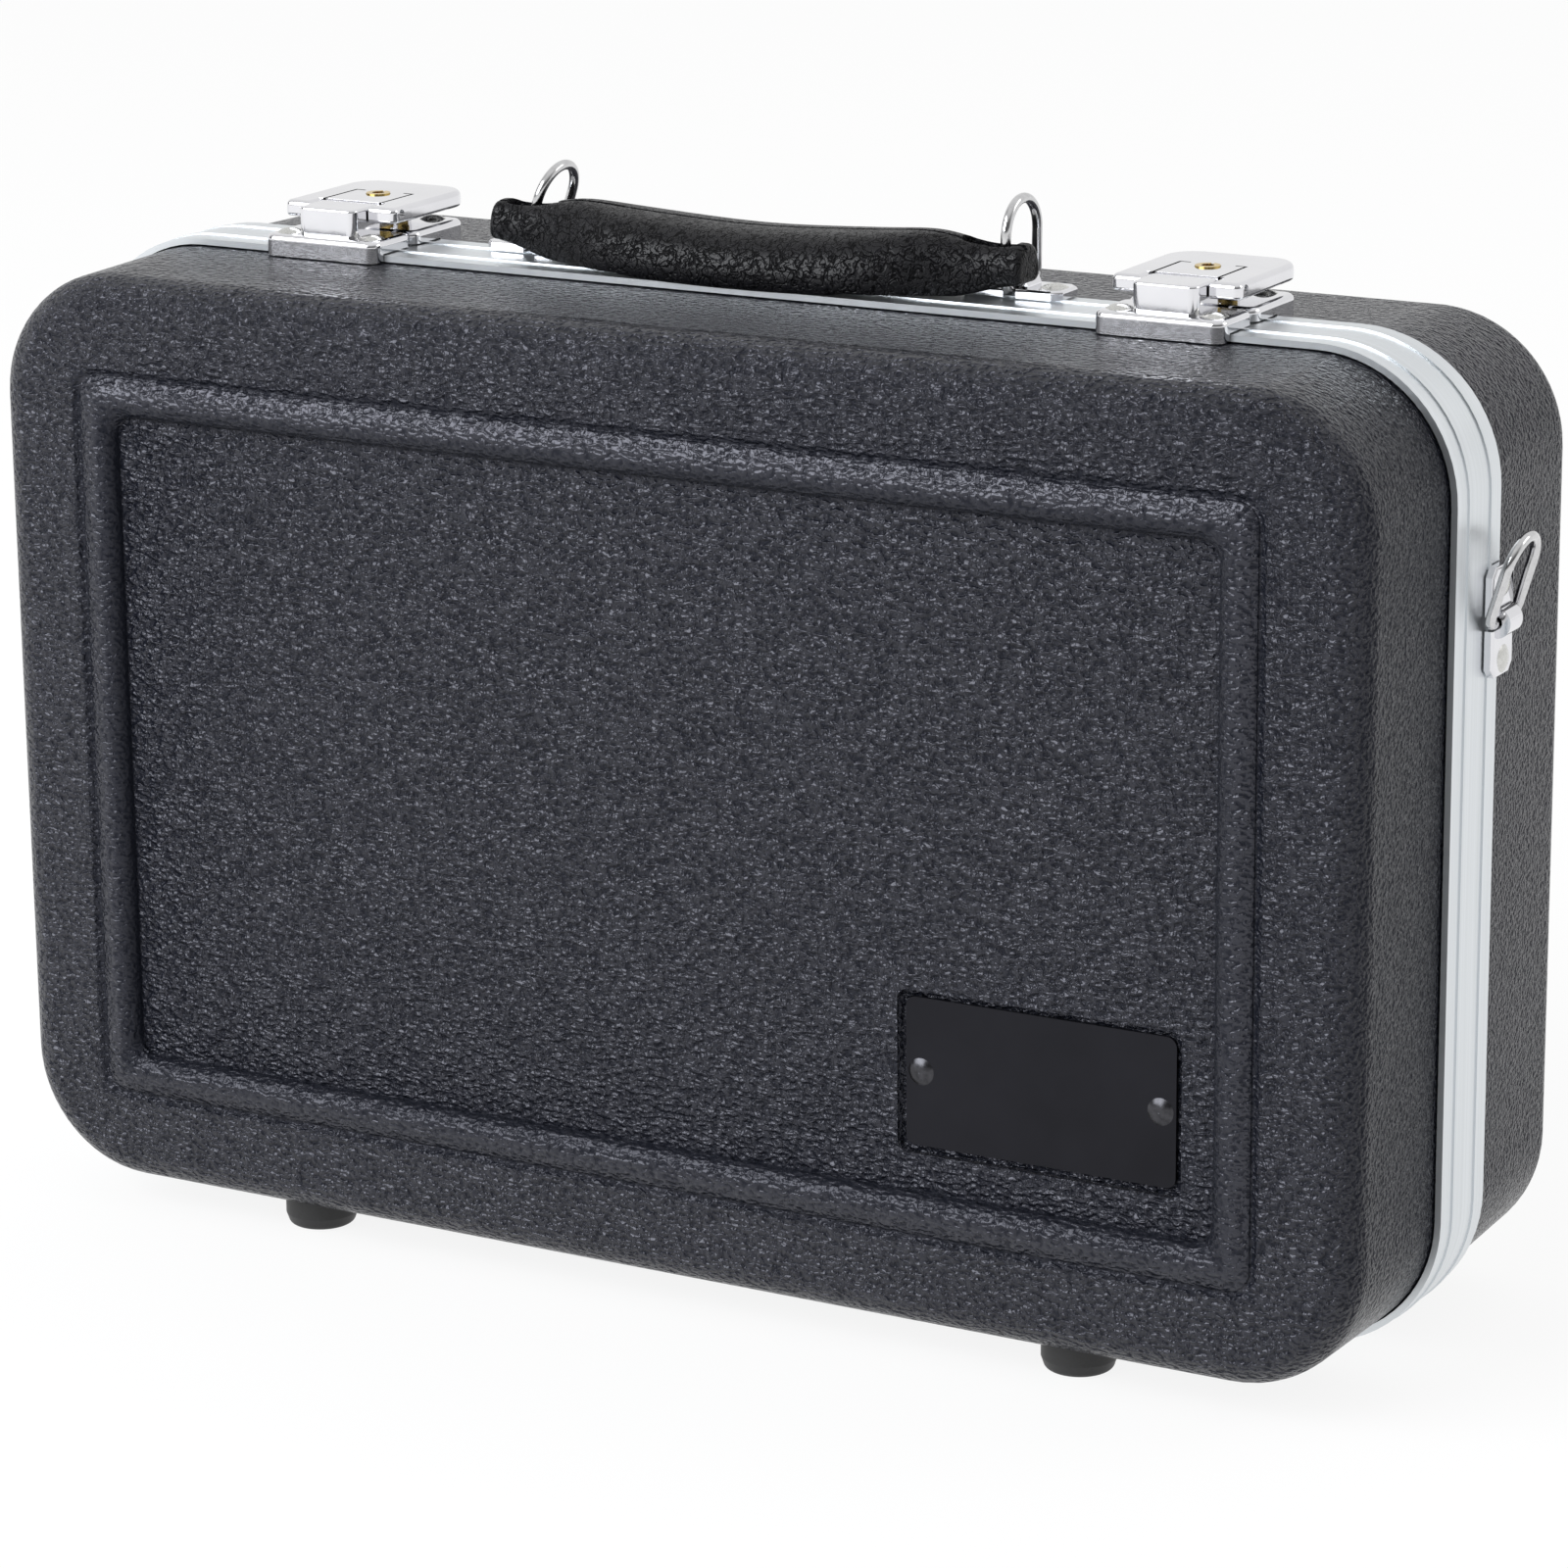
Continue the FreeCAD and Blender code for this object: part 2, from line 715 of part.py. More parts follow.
def make_lid_shell():
    body = make_shell("lid_shell", S.lid_depth, -1)
    floor = -(S.lid_depth - FACE_DEPTH)
    sketch = front_sketch(body, floor)
    half_long = S.plate_length / 2 + S.boss_border
    half_high = S.plate_height / 2 + S.boss_border
    x, z = S.plate_centre_x, S.plate_centre_z
    draw_rounded_box(sketch, half_long, half_high, S.plate_corner_radius, x, z)
    pad(body, sketch, S.plate_pocket_depth, reverse=True)
    sketch = front_sketch(body, -(S.lid_depth - S.panel_recess))
    half_long = S.plate_length / 2 + S.plate_border
    half_high = S.plate_height / 2 + S.plate_border
    draw_rounded_box(sketch, half_long, half_high, S.plate_corner_radius, x, z)
    pocket(body, sketch, S.plate_pocket_depth)
    sketch = front_sketch(body, -(S.lid_depth - PLATE_FLOOR))
    places = [(x + end * S.plate_rivet_spacing / 2, z) for end in (-1, 1)]
    drill(body, sketch, places, HOLE_RADIUS, S.face_wall)
    sketch = plan_sketch(body, HALF_HEIGHT)
    drill(body, sketch, LATCH_RIVETS, HOLE_RADIUS, HOLE_DEPTH)
    sketch = plan_sketch(body, -HALF_HEIGHT)
    places = [(x, -S.hinge_rivet_reach) for x in HINGE_RIVETS_X]
    drill(body, sketch, places, HOLE_RADIUS, HOLE_DEPTH, reverse=True)
    add_foot_seats(body, FOOT_LID_Y)
    place(body)


def make_base_shell():
    body = make_shell("base_shell", S.base_depth, 1)
    sketch = plan_sketch(body, HALF_HEIGHT)
    drill(body, sketch, HANDLE_RIVETS + KEEPER_RIVETS, HOLE_RADIUS, HOLE_DEPTH)
    sketch = plan_sketch(body, -HALF_HEIGHT)
    places = [(x, S.hinge_rivet_reach) for x in HINGE_RIVETS_X]
    drill(body, sketch, places, HOLE_RADIUS, HOLE_DEPTH, reverse=True)
    drill(body, side_sketch(body, HALF_LENGTH), STRAP_RIVETS, HOLE_RADIUS, HOLE_DEPTH)
    sketch = side_sketch(body, -HALF_LENGTH)
    drill(body, sketch, STRAP_RIVETS, HOLE_RADIUS, HOLE_DEPTH, reverse=True)
    add_foot_seats(body, FOOT_BASE_Y)
    place(body)


# Aluminium rims

def add_ring(body, y, outer, inner, width, reverse):
    """A flat loop between two offsets from the shell's outline."""
    sketch = front_sketch(body, y)
    for offset in (outer, inner):
        long = HALF_LENGTH + offset
        high = HALF_HEIGHT + offset
        draw_rounded_box(sketch, long, high, S.corner_radius + offset)
    return pad(body, sketch, width, reverse=reverse)


def make_rim(name, band_width, outward, web_inner):
    """An extrusion bent round the shell's edge: band, web, wall and ridge."""
    body = add_body(name)
    back = outward > 0
    add_ring(body, ZERO, S.band_proud, -web_inner, S.rim_web, back)
    add_ring(body, ZERO, S.band_proud, S.rim_clearance, band_width, back)
    wall_inner = -(INNER_EDGE + S.rim_inner_wall)
    add_ring(body, ZERO, -INNER_EDGE, wall_inner, S.rim_inner_reach, back)
    ridge = outward * (band_width - S.ridge_width) / 2
    crest = S.band_proud + S.ridge_height
    add_ring(body, ridge, crest, S.band_proud / 2, S.ridge_width, back)
    return body


def make_lid_rim():
    body = make_rim("lid_rim", S.lid_band_width, -1, INNER_EDGE + S.rim_inner_wall)
    depth = S.band_proud + S.ridge_height
    sketch = plan_sketch(body, BAND_TOP + S.ridge_height)
    drill(body, sketch, LATCH_RIVETS, HOLE_RADIUS, depth)
    sketch = plan_sketch(body, -(BAND_TOP + S.ridge_height))
    places = [(x, -S.hinge_rivet_reach) for x in HINGE_RIVETS_X]
    drill(body, sketch, places, HOLE_RADIUS, depth, reverse=True)
    place(body)


def make_base_rim():
    body = make_rim("base_rim", S.base_band_width, 1, LIP_INNER)
    add_ring(body, S.rim_web, -LIP_OUTER, -LIP_INNER, S.rim_web + S.lip_reach, False)
    depth = S.band_proud + S.ridge_height
    sketch = plan_sketch(body, BAND_TOP + S.ridge_height)
    drill(body, sketch, HANDLE_RIVETS, HOLE_RADIUS, depth)
    sketch = plan_sketch(body, -(BAND_TOP + S.ridge_height))
    places = [(x, S.hinge_rivet_reach) for x in HINGE_RIVETS_X]
    drill(body, sketch, places, HOLE_RADIUS, depth, reverse=True)
    outer = HALF_LENGTH + S.band_proud + S.ridge_height
    drill(body, side_sketch(body, outer), STRAP_RIVETS, HOLE_RADIUS, depth)
    drill(body, side_sketch(body, -outer), STRAP_RIVETS, HOLE_RADIUS, depth, reverse=True)
    place(body)


# Name plate

def make_name_plate():
    body = add_body("name_plate")
    sketch = front_sketch(body)
    half_long, half_high = S.plate_length / 2, S.plate_height / 2
    draw_rounded_box(sketch, half_long, half_high, S.plate_corner_radius)
    pad(body, sketch, S.plate_thickness)
    sketch = front_sketch(body)
    places = [(end * S.plate_rivet_spacing / 2, ZERO) for end in (-1, 1)]
    drill(body, sketch, places, HOLE_RADIUS, S.plate_thickness, reverse=True)
    place(body, S.plate_centre_x, -(S.lid_depth - PLATE_FLOOR), S.plate_centre_z)


# Rivets

def make_rivets(name, places, grip, tail, x=ZERO, y=ZERO, z=ZERO, axis=None, angle=ZERO,
                head_radius=None, head_height=None):
    """Dome rivets that share one node; each is a solid of its own."""
    body = add_body(name)
    radius = head_radius or S.rivet_head_radius
    height = head_height or S.rivet_head_height
    for px, py in places:
        sketch = front_sketch(body, py, px)
        points = [(ZERO, -grip), (S.rivet_radius, -grip)]
        if tail is not None:
            end = -grip - tail
            points = [(ZERO, end), (S.rivet_tail_radius, end)]
            points += [(S.rivet_tail_radius, -grip), (S.rivet_radius, -grip)]
        points += [(S.rivet_radius, ZERO), (radius, ZERO)]
        draw_turned(sketch, points, radius, height)
        revolve(body, sketch)
    place(body, x, y, z, axis, angle)


def lean_at(reach):
    """How far the drafted wall has moved away under the far side of a rivet's tail."""
    return (reach + S.rivet_tail_radius - S.rim_web) * LEAN


def make_all_rivets():
    tail = S.rivet_tail_height
    over_rim = S.tab_thickness + S.ridge_height + S.band_proud + S.shell_wall
    grip = over_rim + lean_at(S.bracket_back)
    places = [(x, ZERO) for x, y in HANDLE_RIVETS]
    seat = BRACKET_SEAT + S.tab_thickness
    make_rivets("handle_bracket_rivets", places, grip, tail, y=S.bracket_back, z=seat)
    ends = [(-S.bracket_rivet_spread, ZERO), (S.bracket_rivet_spread, ZERO)]
    seat = HALF_LENGTH + S.band_proud + S.ridge_height + S.tab_thickness
    for word, sign in (("left", -1), ("right", 1)):
        make_rivets("strap_bracket_rivets_" + word, ends, grip, tail, x=sign * seat,
                    y=S.bracket_back, z=S.strap_bracket_height, axis=(0, 1, 0),
                    angle=as_size(sign * 90))
    grip = S.latch_plate_top + S.shell_wall + lean_at(S.latch_rivet_reach)
    places = [(x, ZERO) for x, y in LATCH_RIVETS]
    make_rivets("latch_plate_rivets", places, grip, tail, y=-S.latch_rivet_reach, z=LATCH_TOP)
    grip = S.latch_plate_top + S.shell_wall + lean_at(S.keeper_rivet_reach)
    places = [(x, ZERO) for x, y in KEEPER_RIVETS]
    make_rivets("keeper_rivets", places, grip, tail, y=S.keeper_rivet_reach, z=LATCH_TOP)
    places = [(end * S.plate_rivet_spacing / 2, ZERO) for end in (-1, 1)]
    front = -(S.lid_depth - PLATE_FLOOR + S.plate_thickness)
    make_rivets("name_plate_rivets", places, S.plate_rivet_grip, None,
                x=S.plate_centre_x, y=front, z=S.plate_centre_z, axis=(1, 0, 0),
                angle=as_size(90))
    under = S.hinge_leaf_thickness + S.ridge_height + S.band_proud + S.shell_wall
    grip = under + lean_at(S.hinge_rivet_reach)
    places = [(x, ZERO) for x in HINGE_RIVETS_X]
    seat = -(LEAF_TOP + S.hinge_leaf_thickness)
    for word, sign in (("lid", -1), ("base", 1)):
        make_rivets("hinge_rivets_" + word, places, grip, tail, y=sign * S.hinge_rivet_reach,
                    z=seat, axis=(1, 0, 0), angle=as_size(180),
                    head_radius=S.hinge_rivet_head_radius,
                    head_height=S.hinge_rivet_head_height)
    cushion = S.foot_height - S.foot_recess_depth
    places = [(x, ZERO) for x in FOOT_X]
    seat = -(HALF_HEIGHT + cushion)
    for word, y, reach in (("lid", FOOT_LID_Y, -FOOT_LID_Y), ("base", FOOT_BASE_Y, FOOT_BASE_Y)):
        grip = cushion + S.shell_wall + lean_at(reach)
        make_rivets("foot_rivets_" + word, places, grip, tail, y=y, z=seat,
                    axis=(1, 0, 0), angle=as_size(180))


# Rubber feet

def make_foot(name, x, y):
    """A turned bumper with a counterbore for its rivet."""
    body = add_body(name)
    sketch = front_sketch(body)
    high = S.foot_height - S.foot_recess_depth
    points = [
        (HOLE_RADIUS, ZERO),
        (S.foot_radius, ZERO),
        (S.foot_radius, -high),
        (S.foot_tip_radius, -S.foot_height),
        (S.foot_recess_radius, -S.foot_height),
        (S.foot_recess_radius, -high),
        (HOLE_RADIUS, -high),
    ]
    draw_outline(sketch, points)
    revolve(body, sketch)
    tip_edge = flat_at("Z", -S.foot_height)
    limit = (S.foot_tip_radius + S.foot_recess_radius) / 2
    round_edges(body, S.foot_round, lambda e: tip_edge(e) and e.BoundBox.XMax > limit.value)
    place(body, x, y, -HALF_HEIGHT)


def make_feet():
    for word, x in (("left", -S.foot_spread), ("right", S.foot_spread)):
        make_foot("foot_front_" + word, x, FOOT_LID_Y)
        make_foot("foot_back_" + word, x, FOOT_BASE_Y)


# Hinges at the spine

def make_hinge_leaf(name, x, outward, spans):
    """A pressed leaf with its knuckles, riveted under one rim."""
    body = add_body(name)
    start = S.knuckle_radius + S.knuckle_gap
    near, far = outward * start, outward * S.hinge_leaf_reach
    if outward < 0:
        near, far = far, near
    half = S.hinge_length / 2
    sketch = plan_sketch(body, -LEAF_TOP)
    draw_box(sketch, -half, near, half, far)
    pad(body, sketch, S.hinge_leaf_thickness, reverse=True)
    for left, right in spans:
        sketch = plan_sketch(body, -LEAF_TOP)
        near, far = ZERO, outward * (start + S.hinge_leaf_thickness)
        if outward < 0:
            near, far = far, near
        draw_box(sketch, left, near, right, far)
        pad(body, sketch, S.hinge_leaf_thickness, reverse=True)
        sketch = side_sketch(body, left)
        draw_circle(sketch, ZERO, HINGE_Z, S.knuckle_radius)
        pad(body, sketch, right - left)
    sketch = side_sketch(body, half)
    draw_circle(sketch, ZERO, HINGE_Z, S.hinge_pin_radius + S.hinge_pin_clearance)
    pocket(body, sketch, S.hinge_length)
    sketch = plan_sketch(body, -LEAF_TOP)
    spot = S.hinge_rivet_spacing / 2
    places = [(end * spot, outward * S.hinge_rivet_reach) for end in (-1, 1)]
    drill(body, sketch, places, HOLE_RADIUS, S.hinge_leaf_thickness)
    place(body, x)


def make_hinges():
    half = S.hinge_length / 2
    third = half / KNUCKLE_COUNT
    gap = S.knuckle_gap / 2
    outer = [(-half, -third - gap), (third + gap, half)]
    middle = [(-third + gap, third - gap)]
    for word, x in (("left", -S.hinge_spread), ("right", S.hinge_spread)):
        make_hinge_leaf("hinge_leaf_base_" + word, x, 1, outer)
        make_hinge_leaf("hinge_leaf_lid_" + word, x, -1, middle)
        pin = add_body("hinge_pin_" + word)
        sketch = side_sketch(pin)
        draw_circle(sketch, ZERO, HINGE_Z, S.hinge_pin_radius)
        pad(pin, sketch, S.hinge_length, middle=True)
        place(pin, x)


# Latches

def make_tray(name, near, far, band_edge, holes, x):
    """A pressed plate with a turned-down skirt that steps over the rim."""
    body = add_body(name)
    half = S.latch_width / 2
    middle = (near + far) / 2
    reach = (far - near) / 2
    sketch = plan_sketch(body, HALF_HEIGHT)
    draw_rounded_box(sketch, half, reach, S.latch_corner_radius, ZERO, middle)
    pad(body, sketch, S.latch_plate_top)
    round_edges(body, S.latch_edge_round, flat_at("Z", LATCH_TOP))
    sketch = plan_sketch(body, HALF_HEIGHT)
    sheet = S.latch_sheet
    radius = S.latch_corner_radius - sheet
    draw_rounded_box(sketch, half - sheet, reach - sheet, radius, ZERO, middle)
    pocket(body, sketch, S.latch_plate_top - sheet, reverse=True)
    sketch = side_sketch(body)
    low = HALF_HEIGHT - S.cut_overrun
    ends = (band_edge, S.cut_overrun) if band_edge.value < 0 else (-S.cut_overrun, band_edge)
    draw_box(sketch, ends[0], low, ends[1], LATCH_SEAT)
    pocket(body, sketch, S.latch_width + S.cut_overrun, middle=True)
    drill(body, plan_sketch(body, LATCH_TOP), holes, HOLE_RADIUS, S.latch_sheet + S.cut_overrun)
    place(body, x)
    return body


def make_latch_plate(name, x):
    """The lid half of a latch with the solid block that carries the lever."""
    spot = S.latch_rivet_spread
    holes = [(end * spot, -S.latch_rivet_reach) for end in (-1, 1)]
    band_edge = -(S.lid_band_width + S.latch_gap)
    body = make_tray(name, -S.latch_plate_reach, -S.latch_gap, band_edge, holes, x)
    sketch = plan_sketch(body, LATCH_TOP - S.latch_sheet)
    half = S.block_width / 2
    draw_box(sketch, -half, -S.block_front, half, -S.block_back)
    pad(body, sketch, S.block_height + S.latch_sheet)
    at_front = flat_at("Y", -S.block_front)
    tall = S.block_height.value / 2
    round_edges(body, S.block_corner, lambda e: at_front(e) and e.BoundBox.ZLength > tall)
    round_edges(body, S.block_round, flat_at("Z", LATCH_TOP + S.block_height))
    sketch = side_sketch(body)
    draw_circle(sketch, -S.pivot_front, PIVOT_Z, S.pin_radius + S.pin_clearance)
    pocket(body, sketch, S.latch_width, middle=True)


def make_keeper(name, x):
    """The base half of a latch with the lip that the hook reaches behind."""
    spot = S.keeper_rivet_spread
    holes = [(end * spot, S.keeper_rivet_reach) for end in (-1, 1)]
    band_edge = S.base_band_width + S.latch_gap
    body = make_tray(name, S.latch_gap, S.keeper_reach, band_edge, holes, x)
    sketch = plan_sketch(body, LATCH_TOP - S.latch_sheet)
    half = S.catch_width / 2
    draw_box(sketch, -half, S.catch_back, half, S.catch_back + S.catch_wall)
    pad(body, sketch, S.catch_height + S.latch_sheet)


def make_lever(name, x):
    """The flip lever: a thick plate with two arms, a tongue and a claw."""
    body = add_body(name)
    half = S.lever_width / 2
    front = -(S.pivot_front + S.arm_nose_reach)
    sketch = plan_sketch(body, LEVER_LOW)
    draw_box(sketch, -half, front, half, S.lever_back)
    pad(body, sketch, S.lever_plate)
    tall = S.lever_plate.value / 2
    for level, radius in ((S.lever_back, S.lever_corner_radius), (front, S.nose_corner)):
        at_end = flat_at("Y", level)
        round_edges(body, radius, lambda e: at_end(e) and e.BoundBox.ZLength > tall)
    round_edges(body, S.lever_under_round, flat_at("Z", LEVER_LOW))
    block_side = S.block_width / 2 + S.ear_gap
    depth = S.lever_plate + S.cut_overrun
    sketch = plan_sketch(body, LEVER_TOP)
    draw_box(sketch, -block_side, front - S.cut_overrun, block_side, -S.tongue_front)
    pocket(body, sketch, depth)
    at_top = flat_at("Z", LEVER_TOP)
    at_tongue = flat_at("Y", -S.tongue_front)
    round_edges(body, S.lever_round, lambda e: at_top(e) and not at_tongue(e))
    for side in (-1, 1):
        outer = side * block_side
        inner = side * (block_side - S.slot_width)
        turn = side * (block_side - S.slot_turn)
        end = S.slot_back - S.slot_width
        start = -S.tongue_front - S.slot_width
        for far, near, low, high in ((inner, outer, start, S.slot_back),
                                     (turn, outer, end, S.slot_back)):
            left, right = (far, near) if side > 0 else (near, far)
            sketch = plan_sketch(body, LEVER_TOP)
            draw_box(sketch, left, low, right, high)
            pocket(body, sketch, depth)
    sketch = side_sketch(body)
    draw_circle(sketch, -S.pivot_front, PIVOT_Z, S.pin_radius + S.pin_clearance)
    pocket(body, sketch, S.lever_width + S.cut_overrun, middle=True)
    bore = S.lock_radius + S.lock_clearance
    drill(body, plan_sketch(body, LEVER_TOP), [(ZERO, S.lock_back)], bore, depth)
    low = LATCH_TOP + S.catch_height + S.hook_clearance
    sketch = side_sketch(body)
    draw_box(sketch, S.hook_back, low, S.hook_back + S.hook_wall, LEVER_TOP - S.lever_plate / 2)
    pad(body, sketch, S.hook_width, middle=True)
    place(body, x)


def make_latch_pin(name, x):
    body = add_body(name)
    sketch = side_sketch(body)
    draw_circle(sketch, -S.pivot_front, PIVOT_Z, S.pin_radius)
    pad(body, sketch, S.lever_width - S.ear_wall, middle=True)
    place(body, x)


def make_lock_core(name, x):
    """A key cylinder that turns in the lever, with a cam under the plate."""
    body = add_body(name)
    sketch = plan_sketch(body, -S.lever_plate - S.lock_drop)
    draw_circle(sketch, ZERO, ZERO, S.lock_radius)
    pad(body, sketch, S.lever_plate + S.lock_drop + S.lock_head)
    sketch = plan_sketch(body, -S.lever_plate - S.lock_drop)
    half = S.lock_cam_width / 2
    draw_box(sketch, -half, -half, half, S.lock_cam_length)
    pad(body, sketch, S.lock_cam_thickness, reverse=True)
    sketch = plan_sketch(body, S.lock_head)
    half = S.lock_slot_width / 2
    draw_box(sketch, -half, ZERO, half, S.lock_radius + S.lock_clearance)
    pocket(body, sketch, S.lock_slot_depth)
    drill(body, plan_sketch(body, S.lock_head), [(ZERO, ZERO)], S.lock_bore_radius,
          S.lock_slot_depth)
    place(body, x, S.lock_back, LEVER_TOP)


def make_latches():
    for word, x in (("left", -S.latch_spread), ("right", S.latch_spread)):
        make_latch_plate("latch_plate_" + word, x)
        make_keeper("latch_keeper_" + word, x)
        make_lever("latch_lever_" + word, x)
        make_latch_pin("latch_pin_" + word, x)
        make_lock_core("lock_core_" + word, x)


# Brackets and wire rings

def make_bracket(name, x, y, z, axis=None, angle=ZERO):
    """A strap with two riveted tabs and an arch over the ring's bar."""
    body = add_body(name)
    half, wide = S.bracket_length / 2, S.bracket_width / 2
    cut = S.tab_corner_cut
    sketch = plan_sketch(body)
    draw_outline(sketch, [
        (-half + cut, -wide), (half - cut, -wide),
        (half, -wide + cut), (half, wide - cut),
        (half - cut, wide), (-half + cut, wide),
        (-half, wide - cut), (-half, -wide + cut),
    ])
    pad(body, sketch, S.tab_thickness)
    round_edges(body, S.tab_edge_round, flat_at("Z", S.tab_thickness))
    sketch = front_sketch(body)
    draw_arch(sketch, S.arch_radius, RING_BAR_HEIGHT, ZERO)
    pad(body, sketch, S.arch_width, middle=True)
    sketch = front_sketch(body)
    draw_arch(sketch, RING_BAR_HEIGHT, RING_BAR_HEIGHT, -S.cut_overrun)
    pocket(body, sketch, S.bracket_width + S.cut_overrun, middle=True)
    places = [(-S.bracket_rivet_spread, ZERO), (S.bracket_rivet_spread, ZERO)]
    drill(body, plan_sketch(body, S.tab_thickness), places, HOLE_RADIUS, S.tab_thickness)
    place(body, x, y, z, axis, angle)


def make_ring(name, x, y, z, angle):
    """A closed wire ring with a round head, its bar in the bracket."""
    body = add_body(name)
    path = side_sketch(body)
    draw_bow(path, S.ring_width / 2, S.ring_height, S.ring_corner_radius)
    profile = front_sketch(body)
    draw_circle(profile, ZERO, ZERO, S.wire_radius)
    doc.recompute()
    feature = body.newObject("PartDesign::AdditivePipe", "Pipe")
    feature.Profile = profile
    edges = ["Edge%d" % (i + 1) for i in range(len(path.Shape.Edges))]
    feature.Spine = (path, edges)
    doc.recompute()
    place(body, x, y, z, (0, 1, 0), angle)


def make_carriers():
    seat = BRACKET_SEAT
    bar = seat + RING_BAR_HEIGHT
    leans = {"left": S.left_ring_lean, "right": S.right_ring_lean}
    for word, sign in (("left", -1), ("right", 1)):
        x = sign * S.handle_bracket_spread
        make_bracket("handle_bracket_" + word, x, S.bracket_back, seat)
        make_ring("handle_ring_" + word, x, S.bracket_back, bar, leans[word])
    end = HALF_LENGTH + S.band_proud + S.ridge_height
    for word, sign in (("left", -1), ("right", 1)):
        quarter = as_size(sign * 90)
        x = sign * end
        z = S.strap_bracket_height
        make_bracket("strap_bracket_" + word, x, S.bracket_back, z, (0, 1, 0), quarter)
        bar = x + sign * RING_BAR_HEIGHT
        make_ring("strap_ring_" + word, bar, S.bracket_back, z, sign * S.strap_ring_lean)


# Lining

def make_liner():
    """A fitted block with a bay for each joint of the instrument."""
    body = add_body("base_liner")
    edge = INNER_EDGE + S.rim_inner_wall + S.lining_gap
    half_long, half_high = HALF_LENGTH - edge, HALF_HEIGHT - edge
    depth = S.base_depth - FACE_DEPTH - S.lining_gap - S.lining_top
    sketch = front_sketch(body, S.lining_top)
    draw_rounded_box(sketch, half_long, half_high, S.corner_radius - edge)
    pad(body, sketch, depth, reverse=True, taper=-S.draft_angle)
    round_edges(body, S.lining_round, flat_at("Y", S.lining_top + depth))
    wall = S.lining_wall
    left, right = -half_long + wall, half_long - wall
    top, low = half_high - wall, -half_high + wall
    split = right - S.bell_bay_width
    row_2 = top - S.lower_joint_bay_height - wall
    row_3 = row_2 - S.upper_joint_bay_height - wall
    row_4 = row_3 - S.mouthpiece_bay_height - wall
    barrel = left + S.mouthpiece_bay_length + wall
    reeds = barrel + S.barrel_bay_length + wall
    bays = [
        (left, split - wall, row_2 + wall, top, S.joint_bay_depth),
        (left, split - wall, row_3 + wall, row_2, S.joint_bay_depth),
        (split, right, top - S.bell_bay_height, top, S.bell_bay_depth),
        (left, barrel - wall, row_4 + wall, row_3, S.mouthpiece_bay_depth),
        (barrel, reeds - wall, row_4 + wall, row_3, S.mouthpiece_bay_depth),
        (reeds, split - wall, row_4 + wall, row_3, S.mouthpiece_bay_depth),
        (left, split - wall, low, row_4, S.accessory_bay_depth),
        (split, right, low, top - S.bell_bay_height - wall, S.accessory_bay_depth),
    ]
    for bay_left, bay_right, bay_low, bay_top, bay_depth in bays:
        sketch = front_sketch(body, S.lining_top)
        wide, high = (bay_right - bay_left) / 2, (bay_top - bay_low) / 2
        x, z = (bay_left + bay_right) / 2, (bay_low + bay_top) / 2
        draw_rounded_box(sketch, wide, high, S.bay_corner_radius, x, z)
        pocket(body, sketch, bay_depth)
    floors = {d.text: d for *_, d in bays}
    for bay_depth in floors.values():
        round_edges(body, S.bay_floor_round, flat_at("Y", S.lining_top + bay_depth))
    place(body)


def make_lid_pad():
    """The padded board that fills the back of the lid."""
    body = add_body("lid_pad")
    back = S.lid_depth - FACE_DEPTH - S.plate_pocket_depth - S.lining_gap
    half_long, half_high = HALF_LENGTH - S.lid_pad_border, HALF_HEIGHT - S.lid_pad_border
    sketch = front_sketch(body, S.lid_pad_thickness - back)
    draw_rounded_box(sketch, half_long, half_high, S.corner_radius - S.lid_pad_border)
    pad(body, sketch, S.lid_pad_thickness, taper=-S.draft_angle)
    round_edges(body, S.lining_round, flat_at("Y", S.lid_pad_thickness - back))
    place(body)


# Moulded handle

def grip_section(x, top, low, width, middle):
    """One closed cross-section of the handle at a place along it."""
    high = top - low
    half = width / 2
    outline = []
    for wide, level in GRIP_OUTLINE_SHARES:
        outline.append(FreeCAD.Vector(x, middle + half * wide, low + high * level))
    curve = Part.BSplineCurve()
    curve.interpolate(outline, PeriodicFlag=True)
    return Part.Wire(curve.toShape())


def mix(a, b, share):
    return a + (b - a) * share


